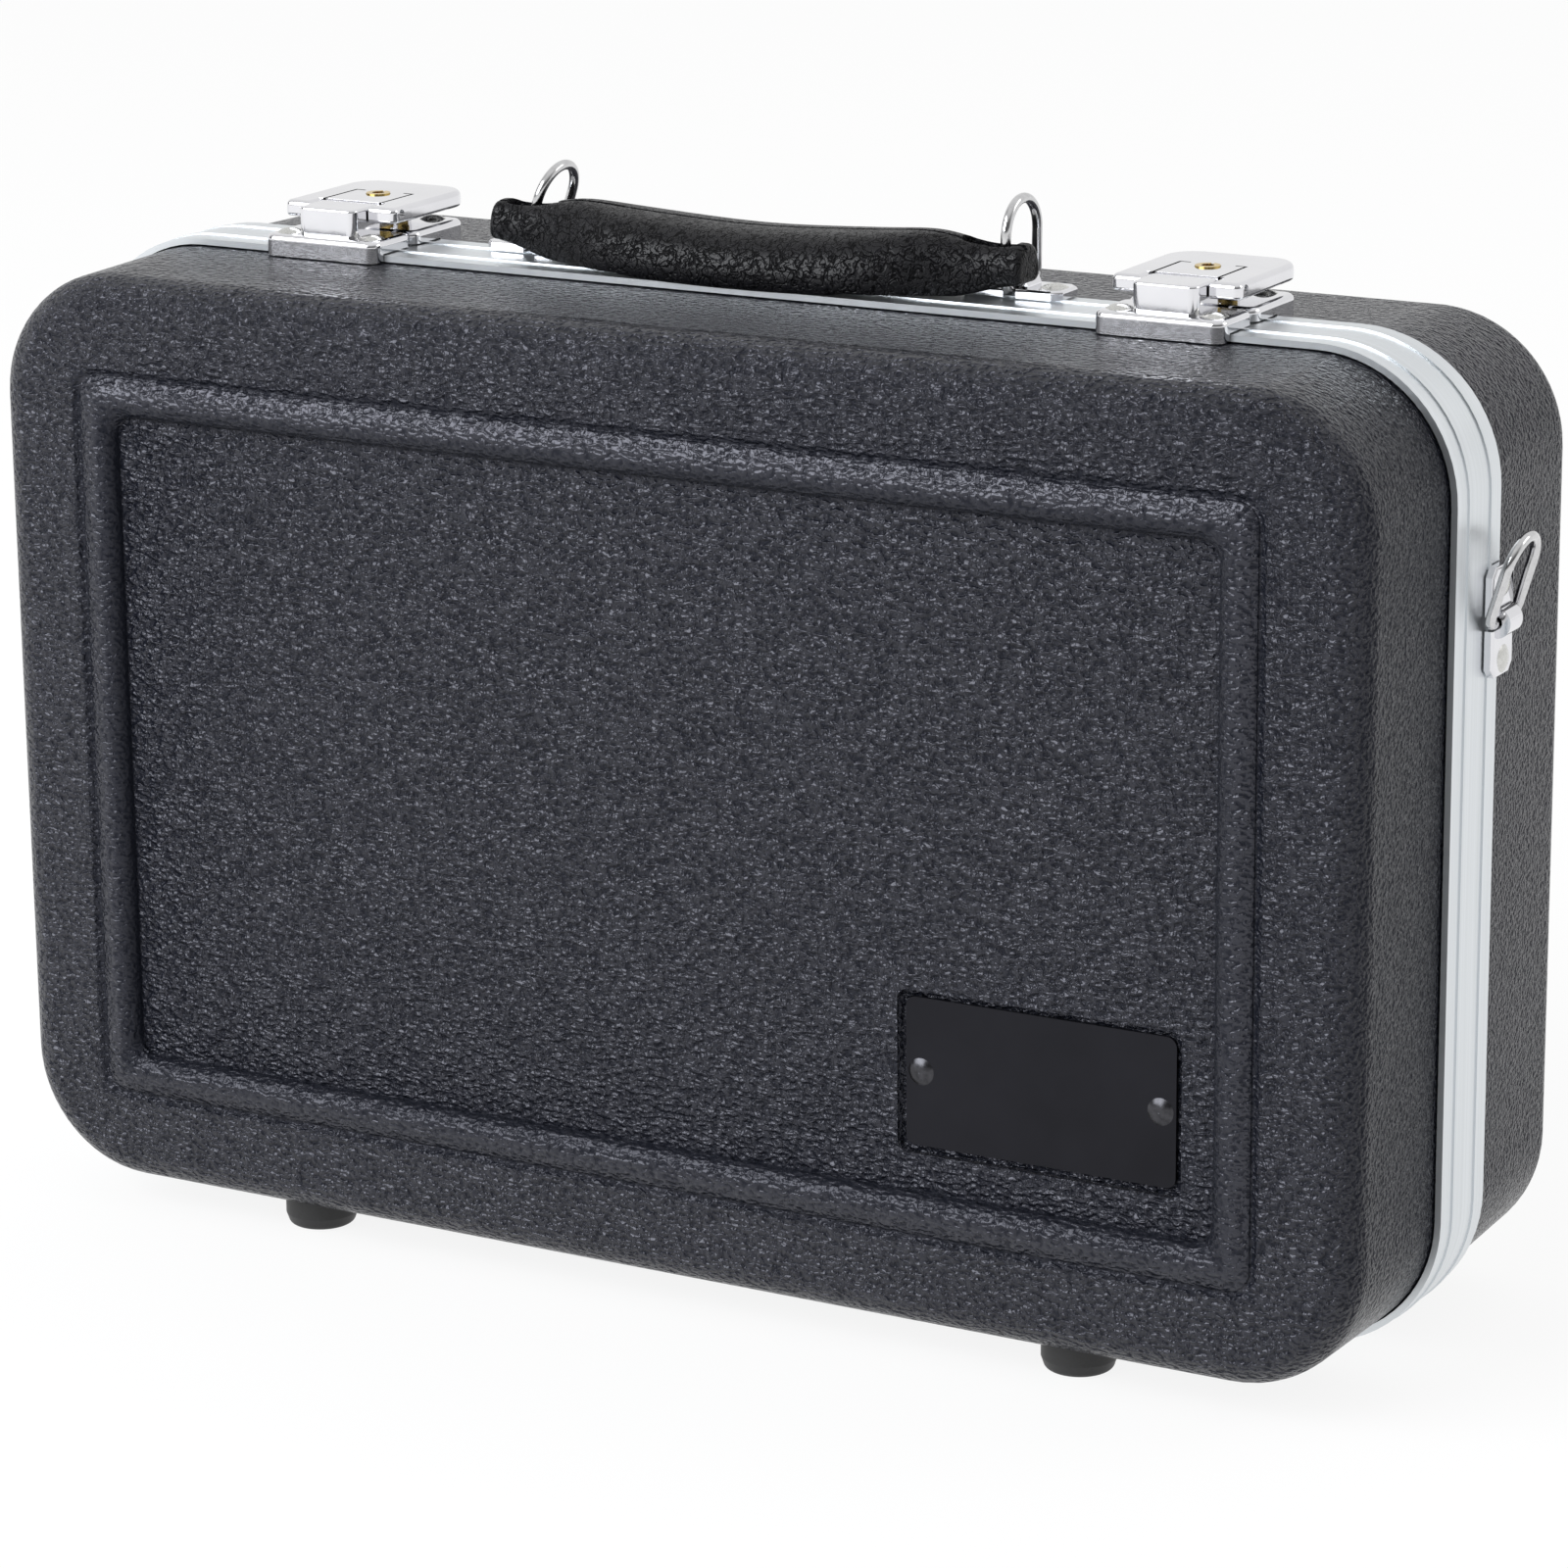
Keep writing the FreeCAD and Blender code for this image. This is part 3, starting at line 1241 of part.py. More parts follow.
def make_grip():
    """A bowed, swelling handle, slotted near its ends for the rings."""
    sheet = doc.getObject("Sizes")
    s = {name: float(sheet.get(name)) for name in SIZES}
    half = s["grip_length"] / 2
    stations = []
    for x, hump, end, drop, narrow in GRIP_STATION_SHARES:
        top = mix(s["grip_top_middle"], s["grip_top_end"], end)
        top += (s["grip_top_hump"] - s["grip_top_middle"]) * hump
        low = mix(s["grip_bottom_middle"], s["grip_bottom_end"], drop)
        width = mix(s["grip_width_middle"], s["grip_width_end"], narrow)
        middle = mix(s["grip_middle_y"], s["grip_end_y"], narrow)
        stations.append((half * x, top, low, width, middle))
    mirrored = [(-x, *rest) for x, *rest in reversed(stations[1:])]
    stations = mirrored + stations
    body = Part.makeLoft([grip_section(*station) for station in stations], True, False)
    ends = [e for e in body.Edges if e.BoundBox.XLength < s["grip_end_round"]]
    body = body.makeFillet(s["grip_end_round"], ends)
    over = s["cut_overrun"]
    tall = s["grip_top_hump"] + over * 2
    band = s["band_proud"] + s["ridge_height"] + s["channel_border"]
    back = s["bracket_back"]
    cuts = []
    reach = s["lid_band_width"] + s["channel_border"]
    box = Part.makeBox(s["grip_length"] + over * 2, reach + back * 2, tall,
                       FreeCAD.Vector(-half - over, -reach, band - tall))
    cuts.append(box)
    border = s["channel_border"]
    tabs = band + s["tab_thickness"] + s["rivet_head_height"] - border / 2
    arch = band + s["wire_radius"] + s["ring_bore_gap"] + s["arch_radius"] - border / 2
    for side in (-1, 1):
        x = side * s["handle_bracket_spread"]
        length = s["grip_slot_length"]
        slot = Part.makeBox(length, s["grip_slot_width"], tall + over * 2)
        upright = [e for e in slot.Edges if e.BoundBox.ZLength > tall]
        slot = slot.makeFillet(s["grip_slot_width"] * SLOT_ROUND_SHARE, upright)
        leg = back - s["ring_width"] / 2
        start = side * s["grip_slot_place"] - length / 2
        slot.translate(FreeCAD.Vector(start, leg - s["grip_slot_width"] / 2, -over))
        cuts.append(slot)
        wide = s["bracket_length"] + border * 2
        near = back - s["bracket_width"] / 2 - border
        corner = FreeCAD.Vector(x - wide / 2, near, tabs - tall)
        cuts.append(Part.makeBox(wide, s["bracket_width"] * 2, tall, corner))
        wide = (s["arch_radius"] + border) * 2
        near = back - s["arch_width"] / 2 - border
        corner = FreeCAD.Vector(x - wide / 2, near, arch - tall)
        cuts.append(Part.makeBox(wide, s["bracket_width"] * 2, tall, corner))
    line = Part.BSplineCurve()
    deep = s["grip_groove_depth"]
    line.interpolate([FreeCAD.Vector(x, 0, top - deep) for x, top, *_ in stations])
    first, last = line.value(line.FirstParameter), line.value(line.LastParameter)
    rise = FreeCAD.Vector(0, 0, tall)
    edges = [line.toShape()]
    edges.append(Part.makeLine(last, last + rise))
    edges.append(Part.makeLine(last + rise, first + rise))
    edges.append(Part.makeLine(first + rise, first))
    blade = Part.Face(Part.Wire(edges))
    width = s["grip_groove_width"]
    blade.translate(FreeCAD.Vector(0, s["grip_middle_y"] - width / 2, 0))
    cuts.append(blade.extrude(FreeCAD.Vector(0, width, 0)))
    body = body.cut(cuts)
    grip = doc.addObject("Part::Feature", "handle_grip")
    grip.Label = "handle_grip"
    grip.Shape = body
    grip.setExpression(".Placement.Base.y", PARTING_Y.text)
    grip.setExpression(".Placement.Base.z", (CENTRE_Z + HALF_HEIGHT).text)
    bodies.append(grip)


def check_objects():
    faults = []
    for item in doc.Objects:
        if "Invalid" in item.State or "Error" in item.State:
            owner = item.getParentGeoFeatureGroup()
            faults.append("%s in %s" % (item.Label, owner.Label if owner else "none"))
    for body in bodies:
        if body.Shape.isNull() or not body.Shape.isValid() or not body.Shape.Solids:
            faults.append("shape of " + body.Label)
    if faults:
        raise RuntimeError("failed: " + ", ".join(faults))


def write_parts():
    os.makedirs("parts", exist_ok=True)
    for body in bodies:
        body.Shape.exportStep("parts/" + body.Label + ".step")
        print(body.Label, len(body.Shape.Solids), round(body.Shape.Volume, 1))


def main():
    make_sheet()
    make_base_shell()
    make_base_rim()
    make_liner()
    make_lid_shell()
    make_lid_rim()
    make_lid_pad()
    make_name_plate()
    make_feet()
    make_hinges()
    make_latches()
    make_carriers()
    make_grip()
    make_all_rivets()
    doc.recompute()
    check_objects()
    write_parts()


main()
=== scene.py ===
import json
import math

import bmesh
import bpy
from mathutils import Matrix, Vector


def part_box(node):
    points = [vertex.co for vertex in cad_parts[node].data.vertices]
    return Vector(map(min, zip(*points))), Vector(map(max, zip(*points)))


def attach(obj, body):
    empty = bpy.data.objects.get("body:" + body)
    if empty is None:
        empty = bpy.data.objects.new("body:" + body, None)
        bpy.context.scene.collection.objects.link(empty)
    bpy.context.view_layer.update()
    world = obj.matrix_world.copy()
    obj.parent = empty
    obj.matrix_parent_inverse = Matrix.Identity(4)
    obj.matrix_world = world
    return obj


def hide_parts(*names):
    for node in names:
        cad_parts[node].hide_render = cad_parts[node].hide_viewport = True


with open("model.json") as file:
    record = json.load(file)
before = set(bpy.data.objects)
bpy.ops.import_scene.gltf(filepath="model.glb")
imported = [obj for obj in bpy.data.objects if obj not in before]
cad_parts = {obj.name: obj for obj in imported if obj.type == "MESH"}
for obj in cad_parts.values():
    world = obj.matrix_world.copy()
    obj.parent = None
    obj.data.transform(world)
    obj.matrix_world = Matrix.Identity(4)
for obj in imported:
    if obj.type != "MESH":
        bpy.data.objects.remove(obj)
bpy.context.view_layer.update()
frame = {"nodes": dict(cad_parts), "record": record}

# The bead frame of each large face: half sizes and middle of its outer edge.
FRAME_HALF_X = 0.1586
FRAME_HALF_Z = 0.0920
FRAME_MIDDLE_Z = 0.1250


# Node helpers

class Nodes:
    """A node tree, built from small named steps."""

    def __init__(self, tree):
        self.tree = tree
        tree.nodes.clear()

    def add(self, kind, **settings):
        """A new node with its settings."""
        node = self.tree.nodes.new(kind)
        for name, value in settings.items():
            setattr(node, name, value)
        return node

    def link(self, source, target):
        self.tree.links.new(source, target)

    def fill(self, target, value):
        """Link a socket to an input, or set the input to a plain value."""
        if isinstance(value, bpy.types.NodeSocket):
            self.link(value, target)
        else:
            target.default_value = value

    def put(self, node, **values):
        """Fill a node's inputs by name; an underscore stands for a space."""
        for name, value in values.items():
            self.fill(node.inputs[name.replace("_", " ")], value)

    def maths(self, operation, first, *others):
        """The values joined by an operation, from the left; ABSOLUTE takes only one."""
        result = first
        for other in others or (0.0,):
            node = self.add("ShaderNodeMath", operation=operation)
            self.fill(node.inputs[0], result)
            self.fill(node.inputs[1], other)
            result = node.outputs[0]
        return result

    def split(self, vector):
        """The outputs X, Y and Z of a vector."""
        node = self.add("ShaderNodeSeparateXYZ")
        self.link(vector, node.inputs[0])
        return node.outputs

    def spread(self, value, low, high, start=0.0, end=1.0, smooth=False):
        """A value from start to end, spread over the range low to high."""
        node = self.add("ShaderNodeMapRange")
        if smooth:
            node.interpolation_type = "SMOOTHSTEP"
        self.put(node, Value=value, From_Min=start, From_Max=end, To_Min=low, To_Max=high)
        return node.outputs["Result"]


class Shader(Nodes):
    """One material with a Principled surface, textured by object coordinates."""

    def __init__(self, name):
        self.material = bpy.data.materials.new(name)
        self.material.use_nodes = True
        super().__init__(self.material.node_tree)
        self.output = self.add("ShaderNodeOutputMaterial")
        self.surface = self.add("ShaderNodeBsdfPrincipled")
        self.link(self.surface.outputs["BSDF"], self.output.inputs["Surface"])
        self.place = self.add("ShaderNodeTexCoord").outputs["Object"]

    def finish(self, **values):
        """Fill the surface's inputs, and give the material."""
        self.put(self.surface, **values)
        return self.material

    def stretch(self, place, scale):
        node = self.add("ShaderNodeMapping")
        self.put(node, Vector=place, Scale=scale)
        return node.outputs[0]

    def noise(self, scale, detail=2.0, roughness=0.5, distortion=0.0, place=None):
        node = self.add("ShaderNodeTexNoise")
        self.put(node, Vector=place or self.place, Scale=scale, Detail=detail,
                 Roughness=roughness, Distortion=distortion)
        return node.outputs["Fac"]

    def warp(self, scale, amount):
        """The place, moved about by up to half the amount each way."""
        field = self.add("ShaderNodeTexNoise")
        self.put(field, Vector=self.place, Scale=scale, Detail=1.0)
        middle = self.add("ShaderNodeVectorMath", operation="SUBTRACT")
        self.fill(middle.inputs[0], field.outputs["Color"])
        self.fill(middle.inputs[1], (0.5, 0.5, 0.5))
        scaled = self.add("ShaderNodeVectorMath", operation="SCALE")
        self.fill(scaled.inputs[0], middle.outputs[0])
        self.fill(scaled.inputs["Scale"], amount)
        total = self.add("ShaderNodeVectorMath", operation="ADD")
        self.fill(total.inputs[0], self.place)
        self.fill(total.inputs[1], scaled.outputs[0])
        return total.outputs[0]

    def creases(self, scale, width, place, distortion=0.6):
        """Thin winding furrows: 0 along their middle, 1 on the ground between."""
        field = self.noise(scale, detail=1.0, roughness=0.45, distortion=distortion, place=place)
        away = self.maths("ABSOLUTE", self.maths("SUBTRACT", field, 0.5))
        return self.spread(away, 0.0, 1.0, start=0.0, end=width, smooth=True)

    def ramp(self, value, stops):
        node = self.add("ShaderNodeValToRGB")
        self.link(value, node.inputs["Fac"])
        marks = node.color_ramp.elements
        while len(marks) < len(stops):
            marks.new(0.5)
        for mark, (at, colour) in zip(marks, stops):
            mark.position = at
            mark.color = colour
        return node.outputs["Color"]

    def blend(self, value, dark, light, start=0.3, end=0.7):
        """A colour that goes from dark to light as the value rises."""
        return self.ramp(value, [(start, dark), (end, light)])

    def bump(self, height, distance, strength=0.5):
        node = self.add("ShaderNodeBump")
        self.put(node, Height=height, Distance=distance, Strength=strength)
        return node.outputs["Normal"]


def colour(red, green, blue):
    return (red, green, blue, 1)


def grey(level, tint=0.0):
    """A grey whose blue is raised by a share of it."""
    return colour(level, level, level * (1 + tint))


WHITE = grey(1.0)


# Shell plastic: its grain is calmer on the bead frame; its gleam is lowered as painted shade in
# the grooves and at the bead's inner corner, and raised as a painted highlight on the bead's
# crest

# The zones of the grain and of the painted light and shade reach this far in from the frame's
# outer edge (minus is out).
ZONE_IN = 0.017
ZONE_OUT = -0.007
# Inset in millimetres and share, of the grain's depth and of the gleam; the gleam's shares are
# painted shade in the groove, on the bead's inner flank and at its inner corner, and a painted
# highlight on its crest.
GRAIN_ZONES = ((11.2, 1.0), (9.8, 0.35), (-0.3, 0.45), (-2.7, 1.0))
PAINTED_LIGHT_ZONES = (
    (11.4, 0.74), (10.3, 0.42), (8.0, 0.48), (6.4, 0.62), (4.5, 0.88),
    (0.7, 0.88), (-0.3, 0.38), (-1.6, 0.45), (-2.7, 0.74),
)
GRAIN_DEPTH = 0.001
PEBBLE_SCALE = 960.0
PEBBLE_STRETCH = (0.62, 1.0, 1.12)
FURROW_SCALE = 430.0
FURROW_STRETCH = (1.5, 1.5, 0.7)
FURROW_SHARE = 0.15
FINE_SCALE = 2600.0
FINE_SHARE = 0.02
# Share of both on the end walls, which start and are full at these normals along X.
END_SHARE = 0.4
END_START = 0.6
END_FULL = 0.95


def frame_zones(s):
    """Where a place lies across the bead frame, from ZONE_IN (0) to ZONE_OUT (1)."""
    place = s.split(s.place)
    across = s.maths("SUBTRACT", s.maths("ABSOLUTE", place["X"]), FRAME_HALF_X)
    height = s.maths("SUBTRACT", place["Z"], FRAME_MIDDLE_Z)
    upward = s.maths("SUBTRACT", s.maths("ABSOLUTE", height), FRAME_HALF_Z)
    outside = s.maths("MAXIMUM", across, upward)
    return s.spread(outside, 0.0, 1.0, start=-ZONE_IN, end=-ZONE_OUT)


def zone_stops(zones):
    """Ramp stops from insets in millimetres, given from the inside outwards."""
    width = ZONE_IN - ZONE_OUT
    return [((ZONE_IN - inset / 1000) / width, grey(share)) for inset, share in zones]


def shell_plastic():
    """Charcoal moulded plastic with a haircell grain."""
    s = Shader("shell_plastic")
    zones = frame_zones(s)
    moved = s.warp(scale=350.0, amount=0.0009)
    pebbles = s.noise(PEBBLE_SCALE, detail=0.4, roughness=0.4, distortion=0.3,
                      place=s.stretch(moved, PEBBLE_STRETCH))
    ground = s.spread(pebbles, 0.0, 1.0, start=0.2, end=0.8)
    furrows = s.creases(FURROW_SCALE, width=0.05, place=s.stretch(moved, FURROW_STRETCH))
    sunk = s.maths("MULTIPLY", s.maths("SUBTRACT", 1.0, furrows), FURROW_SHARE)
    height = s.maths("SUBTRACT", ground, sunk)
    fine = s.noise(FINE_SCALE)
    rough = s.maths("ADD", height, s.maths("MULTIPLY", fine, FINE_SHARE))

    normal = s.split(s.add("ShaderNodeNewGeometry").outputs["Normal"])
    sideways = s.maths("ABSOLUTE", normal["X"])
    ends = s.spread(sideways, 1.0, END_SHARE, start=END_START, end=END_FULL)
    calm = s.ramp(zones, zone_stops(GRAIN_ZONES))
    relief = s.maths("MULTIPLY", s.maths("SUBTRACT", rough, 0.5), calm, ends)

    # Gleam lower where the grain is low: painted shade in the furrows and hollows.
    painted_furrow_shade = s.spread(height, 0.24, 0.66, start=0.12, end=0.50, smooth=True)
    # Gleam by zone across the bead frame: painted shade in the groove and at the inner corner,
    # painted highlight on the crest.
    painted_light = s.ramp(zones, zone_stops(PAINTED_LIGHT_ZONES))
    cloud = s.noise(9.0, detail=3.0, roughness=0.6)
    return s.finish(
        Base_Color=s.blend(cloud, colour(0.008, 0.009, 0.0135), colour(0.010, 0.011, 0.016)),
        Roughness=s.spread(fine, 0.18, 0.26, start=0.3, end=0.7),
        Normal=s.bump(relief, GRAIN_DEPTH, strength=1.0),
        Specular_Tint=colour(0.89, 0.89, 1.0),
        # The gleam carries painted shade in the furrows and grooves and a painted highlight on
        # the bead's crest.
        Specular_IOR_Level=s.maths("MULTIPLY", painted_furrow_shade, painted_light, ends),
    )


# Other materials

# The places of rim_metal's noises, drawn out along the extrusion.
FINE_LINES = (3.0, 5200.0, 3.0)
BROAD_LINES = (6.0, 900.0, 6.0)


def rim_metal():
    """Satin anodised extrusion with lines along its length."""
    s = Shader("rim_metal")
    lines = s.noise(1.0, detail=3.0, roughness=0.6, place=s.stretch(s.place, FINE_LINES))
    broad = s.noise(1.0, place=s.stretch(s.place, BROAD_LINES))
    return s.finish(
        Base_Color=s.blend(broad, colour(0.66, 0.69, 0.71), colour(0.73, 0.76, 0.785)),
        Metallic=1.0,
        Roughness=s.spread(lines, 0.26, 0.40),
        Normal=s.bump(lines, distance=0.00003, strength=0.6),
    )


def chrome_plate():
    """Bright plated steel with faint polishing haze."""
    s = Shader("chrome_plate")
    haze = s.noise(60.0, detail=3.0, roughness=0.6)
    wave = s.noise(140.0, detail=1.0, roughness=0.4)
    return s.finish(
        Base_Color=s.blend(haze, grey(0.74, 0.035), grey(0.80, 0.03), start=0.35),
        Metallic=1.0,
        Roughness=s.spread(haze, 0.05, 0.12),
        Normal=s.bump(wave, distance=0.00006),
    )


def marked_metal(name, scale, dark, light, shine, depth):
    """Bare metal with fine marks; shine is its least and greatest roughness."""
    s = Shader(name)
    marks = s.noise(scale, roughness=0.6)
    return s.finish(
        Base_Color=s.blend(marks, dark, light),
        Metallic=1.0,
        Roughness=s.spread(marks, *shine),
        Normal=s.bump(marks, distance=depth),
    )


def steel_wire():
    """Polished wire with fine drawing marks."""
    return marked_metal("steel_wire", scale=900.0, dark=grey(0.56, 0.01),
                        light=grey(0.64, 0.01), shine=(0.09, 0.17), depth=0.00002)


def rivet_steel():
    """Plain steel, a little warmer and duller than the wire."""
    return marked_metal("rivet_steel", scale=1300.0, dark=grey(0.55, -0.04),
                        light=grey(0.66, -0.03), shine=(0.20, 0.34), depth=0.00002)


def lock_brass():
    """Turned brass of the key cylinders."""
    return marked_metal("lock_brass", scale=1500.0, dark=colour(0.52, 0.36, 0.10),
                        light=colour(0.72, 0.54, 0.20), shine=(0.16, 0.30), depth=0.00003)


def foot_rubber():
    """Matt black rubber."""
    s = Shader("foot_rubber")
    grain = s.noise(1800.0, detail=3.0, roughness=0.6)
    return s.finish(
        Base_Color=s.blend(grain, grey(0.010), grey(0.018, 0.05)),
        Roughness=s.spread(grain, 0.42, 0.58),
        Normal=s.bump(grain, distance=0.00005, strength=0.6),
    )


def plate_enamel():
    """Satin black enamel on a thin metal plate."""
    s = Shader("plate_enamel")
    peel = s.noise(900.0)
    cloud = s.noise(40.0, detail=3.0, roughness=0.6)
    return s.finish(
        Base_Color=s.blend(cloud, grey(0.006, 0.3), grey(0.009, 0.3)),
        Roughness=s.spread(cloud, 0.30, 0.38),
        Normal=s.bump(peel, distance=0.00003),
        Specular_IOR_Level=0.16,
        Specular_Tint=colour(0.92, 0.92, 1.0),
    )


def plate_rivet():
    """Blackened steel rivet heads."""
    s = Shader("plate_rivet")
    wear = s.noise(700.0)
    return s.finish(
        Base_Color=s.blend(wear, grey(0.045, 0.1), grey(0.075, 0.1)),
        Metallic=1.0,
        Roughness=s.spread(wear, 0.22, 0.34),
    )


def handle_leather():
    """Black moulded handle with a leather grain of winding creases."""
    s = Shader("handle_leather")
    moved = s.warp(scale=300.0, amount=0.0012)
    broad = s.creases(420.0, width=0.07, place=moved)
    narrow = s.creases(760.0, width=0.07, place=moved, distortion=0.8)
    fine = s.noise(FINE_SCALE)
    narrow_share = s.maths("MULTIPLY", narrow, 0.6)
    fine_share = s.maths("MULTIPLY", fine, 0.12)
    height = s.maths("ADD", broad, narrow_share, fine_share)
    # Its gleam, and slightly its colour, are lower along the creases: painted shade in the
    # creases.
    return s.finish(
        Base_Color=s.blend(broad, grey(0.003, 0.2), grey(0.006, 0.25), start=0.2, end=0.9),
        Roughness=s.spread(fine, 0.30, 0.42, start=0.3, end=0.7),
        Normal=s.bump(height, distance=0.00024, strength=1.0),
        Specular_IOR_Level=s.spread(s.maths("MULTIPLY", broad, narrow), 0.06, 0.26),
    )


def plush():
    """Black plush with a short nap."""
    s = Shader("plush")
    nap = s.noise(FINE_SCALE, detail=3.0, roughness=0.7)
    brush = s.noise(55.0, detail=3.0, roughness=0.6, distortion=0.8)
    height = s.maths("ADD", nap, s.maths("MULTIPLY", brush, 0.7))
    return s.finish(
        Base_Color=s.blend(brush, grey(0.012, 0.1), grey(0.026, 0.1)),
        Roughness=s.spread(nap, 0.82, 0.95),
        Normal=s.bump(height, distance=0.0004, strength=0.8),
        Sheen_Weight=0.65,
        Sheen_Roughness=0.42,
        Sheen_Tint=colour(0.55, 0.55, 0.60),
    )


def named(*words, but="rivets"):
    """The names of the nodes that hold one of the words, and don't hold the last."""
    return [name for name in frame["nodes"]
            if any(word in name for word in words) and but not in name]


def dress(material, *names):
    """Give CAD nodes their material."""
    for name in names:
        mesh = frame["nodes"][name].data
        mesh.materials.clear()
        mesh.materials.append(material)


def dress_nodes(plastic):
    """Every CAD node's material; the lining and the lid's board are replaced."""
    dress(plastic, "base_shell", "lid_shell")
    dress(rim_metal(), "base_rim", "lid_rim")
    dress(chrome_plate(), *named("bracket", "latch_plate", "keeper", "lever"))
    dress(steel_wire(), *named("_ring_", "pin_"))
    dress(rivet_steel(), *named("rivets", "hinge_leaf", but="name_plate"))
    dress(lock_brass(), *named("lock_core"))
    dress(foot_rubber(), *named("foot_"))
    dress(plate_enamel(), "name_plate")
    dress(plate_rivet(), "name_plate_rivets")
    dress(handle_leather(), "handle_grip")


def mesh_piece(name, mesh):
    """An object made of a bmesh, which is used up."""
    data = bpy.data.meshes.new(name)
    mesh.to_mesh(data)
    mesh.free()
    piece = bpy.data.objects.new(name, data)
    bpy.context.collection.objects.link(piece)
    return piece


# Bead frames of the large faces

FRAME_WIDTH = 0.010
FRAME_CORNER_OUT = 0.0055
FRAME_CORNER_IN = 0.00485
CORNER_STEPS = 10
# The bead: an arc outwards and one inwards from its crest.
CREST_INSET = 0.0055
CREST_SKIM = 0.00001
OUTER_ROUND = 0.0089
OUTER_TURN = math.radians(37.4)
OUTER_STEPS = 11
INNER_ROUND = 0.00454
INNER_TURN = math.radians(82.4)
INNER_STEPS = 14
WALL_OVERLAP = 0.00003
# The groove round the bead: inset from the frame's outer edge, depth under the crest.
GROOVE = (
    (-0.0024, 0.00144), (-0.0018, 0.00166), (-0.0013, 0.00195),
    (-0.0008, 0.00220), (-0.0004, 0.00228), (-0.0001, 0.00212),
)
CUT_TOP = 0.003
MERGE_DISTANCE = 1e-6
SHARP_ANGLE = math.radians(32)


def bead_section():
    """Insets and depths of the groove, the bead's outer arc and its inner arc."""
    section = list(GROOVE)
    for step in range(OUTER_STEPS):
        turn = OUTER_TURN * (1 - step / OUTER_STEPS)
        depth = OUTER_ROUND * (1 - math.cos(turn)) - CREST_SKIM
        section.append((CREST_INSET - OUTER_ROUND * math.sin(turn), depth))
    for step in range(INNER_STEPS + 1):
        turn = INNER_TURN * step / INNER_STEPS
        depth = INNER_ROUND * (1 - math.cos(turn)) - CREST_SKIM
        section.append((CREST_INSET + INNER_ROUND * math.sin(turn), depth))
    inset, depth = section[-1]
    section.append((inset + WALL_OVERLAP, depth))
    return section


def frame_ring(inset):
    """A rounded rectangle, inset from the frame's outer edge, seen from the front."""
    share = min(1.0, max(0.0, inset / FRAME_WIDTH))
    radius = FRAME_CORNER_OUT + (FRAME_CORNER_IN - FRAME_CORNER_OUT) * share - min(0.0, inset)
    middle_x, middle_z = FRAME_HALF_X - inset - radius, FRAME_HALF_Z - inset - radius
    ring = []
    for corner, (side_x, side_z) in enumerate(((1, 1), (-1, 1), (-1, -1), (1, -1))):
        for step in range(CORNER_STEPS + 1):
            turn = math.radians(90) * (corner + step / CORNER_STEPS)
            x = side_x * middle_x + radius * math.cos(turn)
            z = side_z * middle_z + radius * math.sin(turn)
            ring.append((x, z + FRAME_MIDDLE_Z))
    return ring


def bead_cutter(crest, inward):
    """What is taken off the frame, so that it is a round bead."""
    mesh = bmesh.new()
    section = bead_section()
    section += [(section[-1][0], -CUT_TOP), (section[0][0], -CUT_TOP)]
    rings = []
    for inset, depth in section:
        y = crest + inward * depth
        rings.append([mesh.verts.new((x, y, z)) for x, z in frame_ring(inset)])
    for ring, following in zip(rings, rings[1:] + rings[:1]):
        for i, corner in enumerate(ring):
            j = (i + 1) % len(ring)
            mesh.faces.new((corner, ring[j], following[j], following[i]))
    bmesh.ops.recalc_face_normals(mesh, faces=mesh.faces)
    return mesh_piece("bead_cutter", mesh)


def make_skin(name, node, body, material):
    """The shell again, with its frame's crest cut to a round bead."""
    mesh = bmesh.new()
    mesh.from_mesh(frame["nodes"][node].data)
    bmesh.ops.remove_doubles(mesh, verts=mesh.verts, dist=MERGE_DISTANCE)
    skin = mesh_piece(name, mesh)
    low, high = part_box(node)
    crest, inward = (low.y, 1) if body == "lid" else (high.y, -1)
    cutter = bead_cutter(crest, inward)
    cut = skin.modifiers.new("cut", "BOOLEAN")
    cut.operation = "DIFFERENCE"
    cut.object = cutter
    cut.solver = "EXACT"
    ready = bpy.context.evaluated_depsgraph_get()
    skin.data = bpy.data.meshes.new_from_object(skin.evaluated_get(ready))
    skin.modifiers.clear()
    bpy.data.objects.remove(cutter)
    skin.data.materials.clear()
    skin.data.materials.append(material)
    for polygon in skin.data.polygons:
        polygon.use_smooth = True
    skin.data.set_sharp_from_angle(angle=SHARP_ANGLE)
    weigh = skin.modifiers.new("weigh", "WEIGHTED_NORMAL")
    weigh.keep_sharp = True
    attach(skin, body)
    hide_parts(node)


# Lining of the base and cushion of the lid

# Grid cell of both. Then the corner, the rolled edge, how far the back is drawn in,
# and how full each is.
CELL = 0.0022
LINING_CORNER = 0.028
LINING_ROLL = 0.0018
LINING_ROLL_WIDTH = 0.004
LINING_INSET = 0.0012
# Bays are this much larger than the record's boxes, with rounded corners and edges.
BAY_GROWTH = 0.003
BAY_ROUND = 0.008
EDGE_ROUND = 0.0055
# The cushion lies a little under the top of its box, with a seam and a crown.
CUSHION_CORNER = 0.026
CUSHION_ROLL = 0.006
CUSHION_ROLL_WIDTH = 0.010
CUSHION_INSET = 0.001
CUSHION_HEADROOM = 0.0018
SEAM_INSET = 0.019
SEAM_WIDTH = 0.0016
SEAM_DEPTH = 0.0024
CROWN = 0.0016
CROWN_WIDTH = 0.05


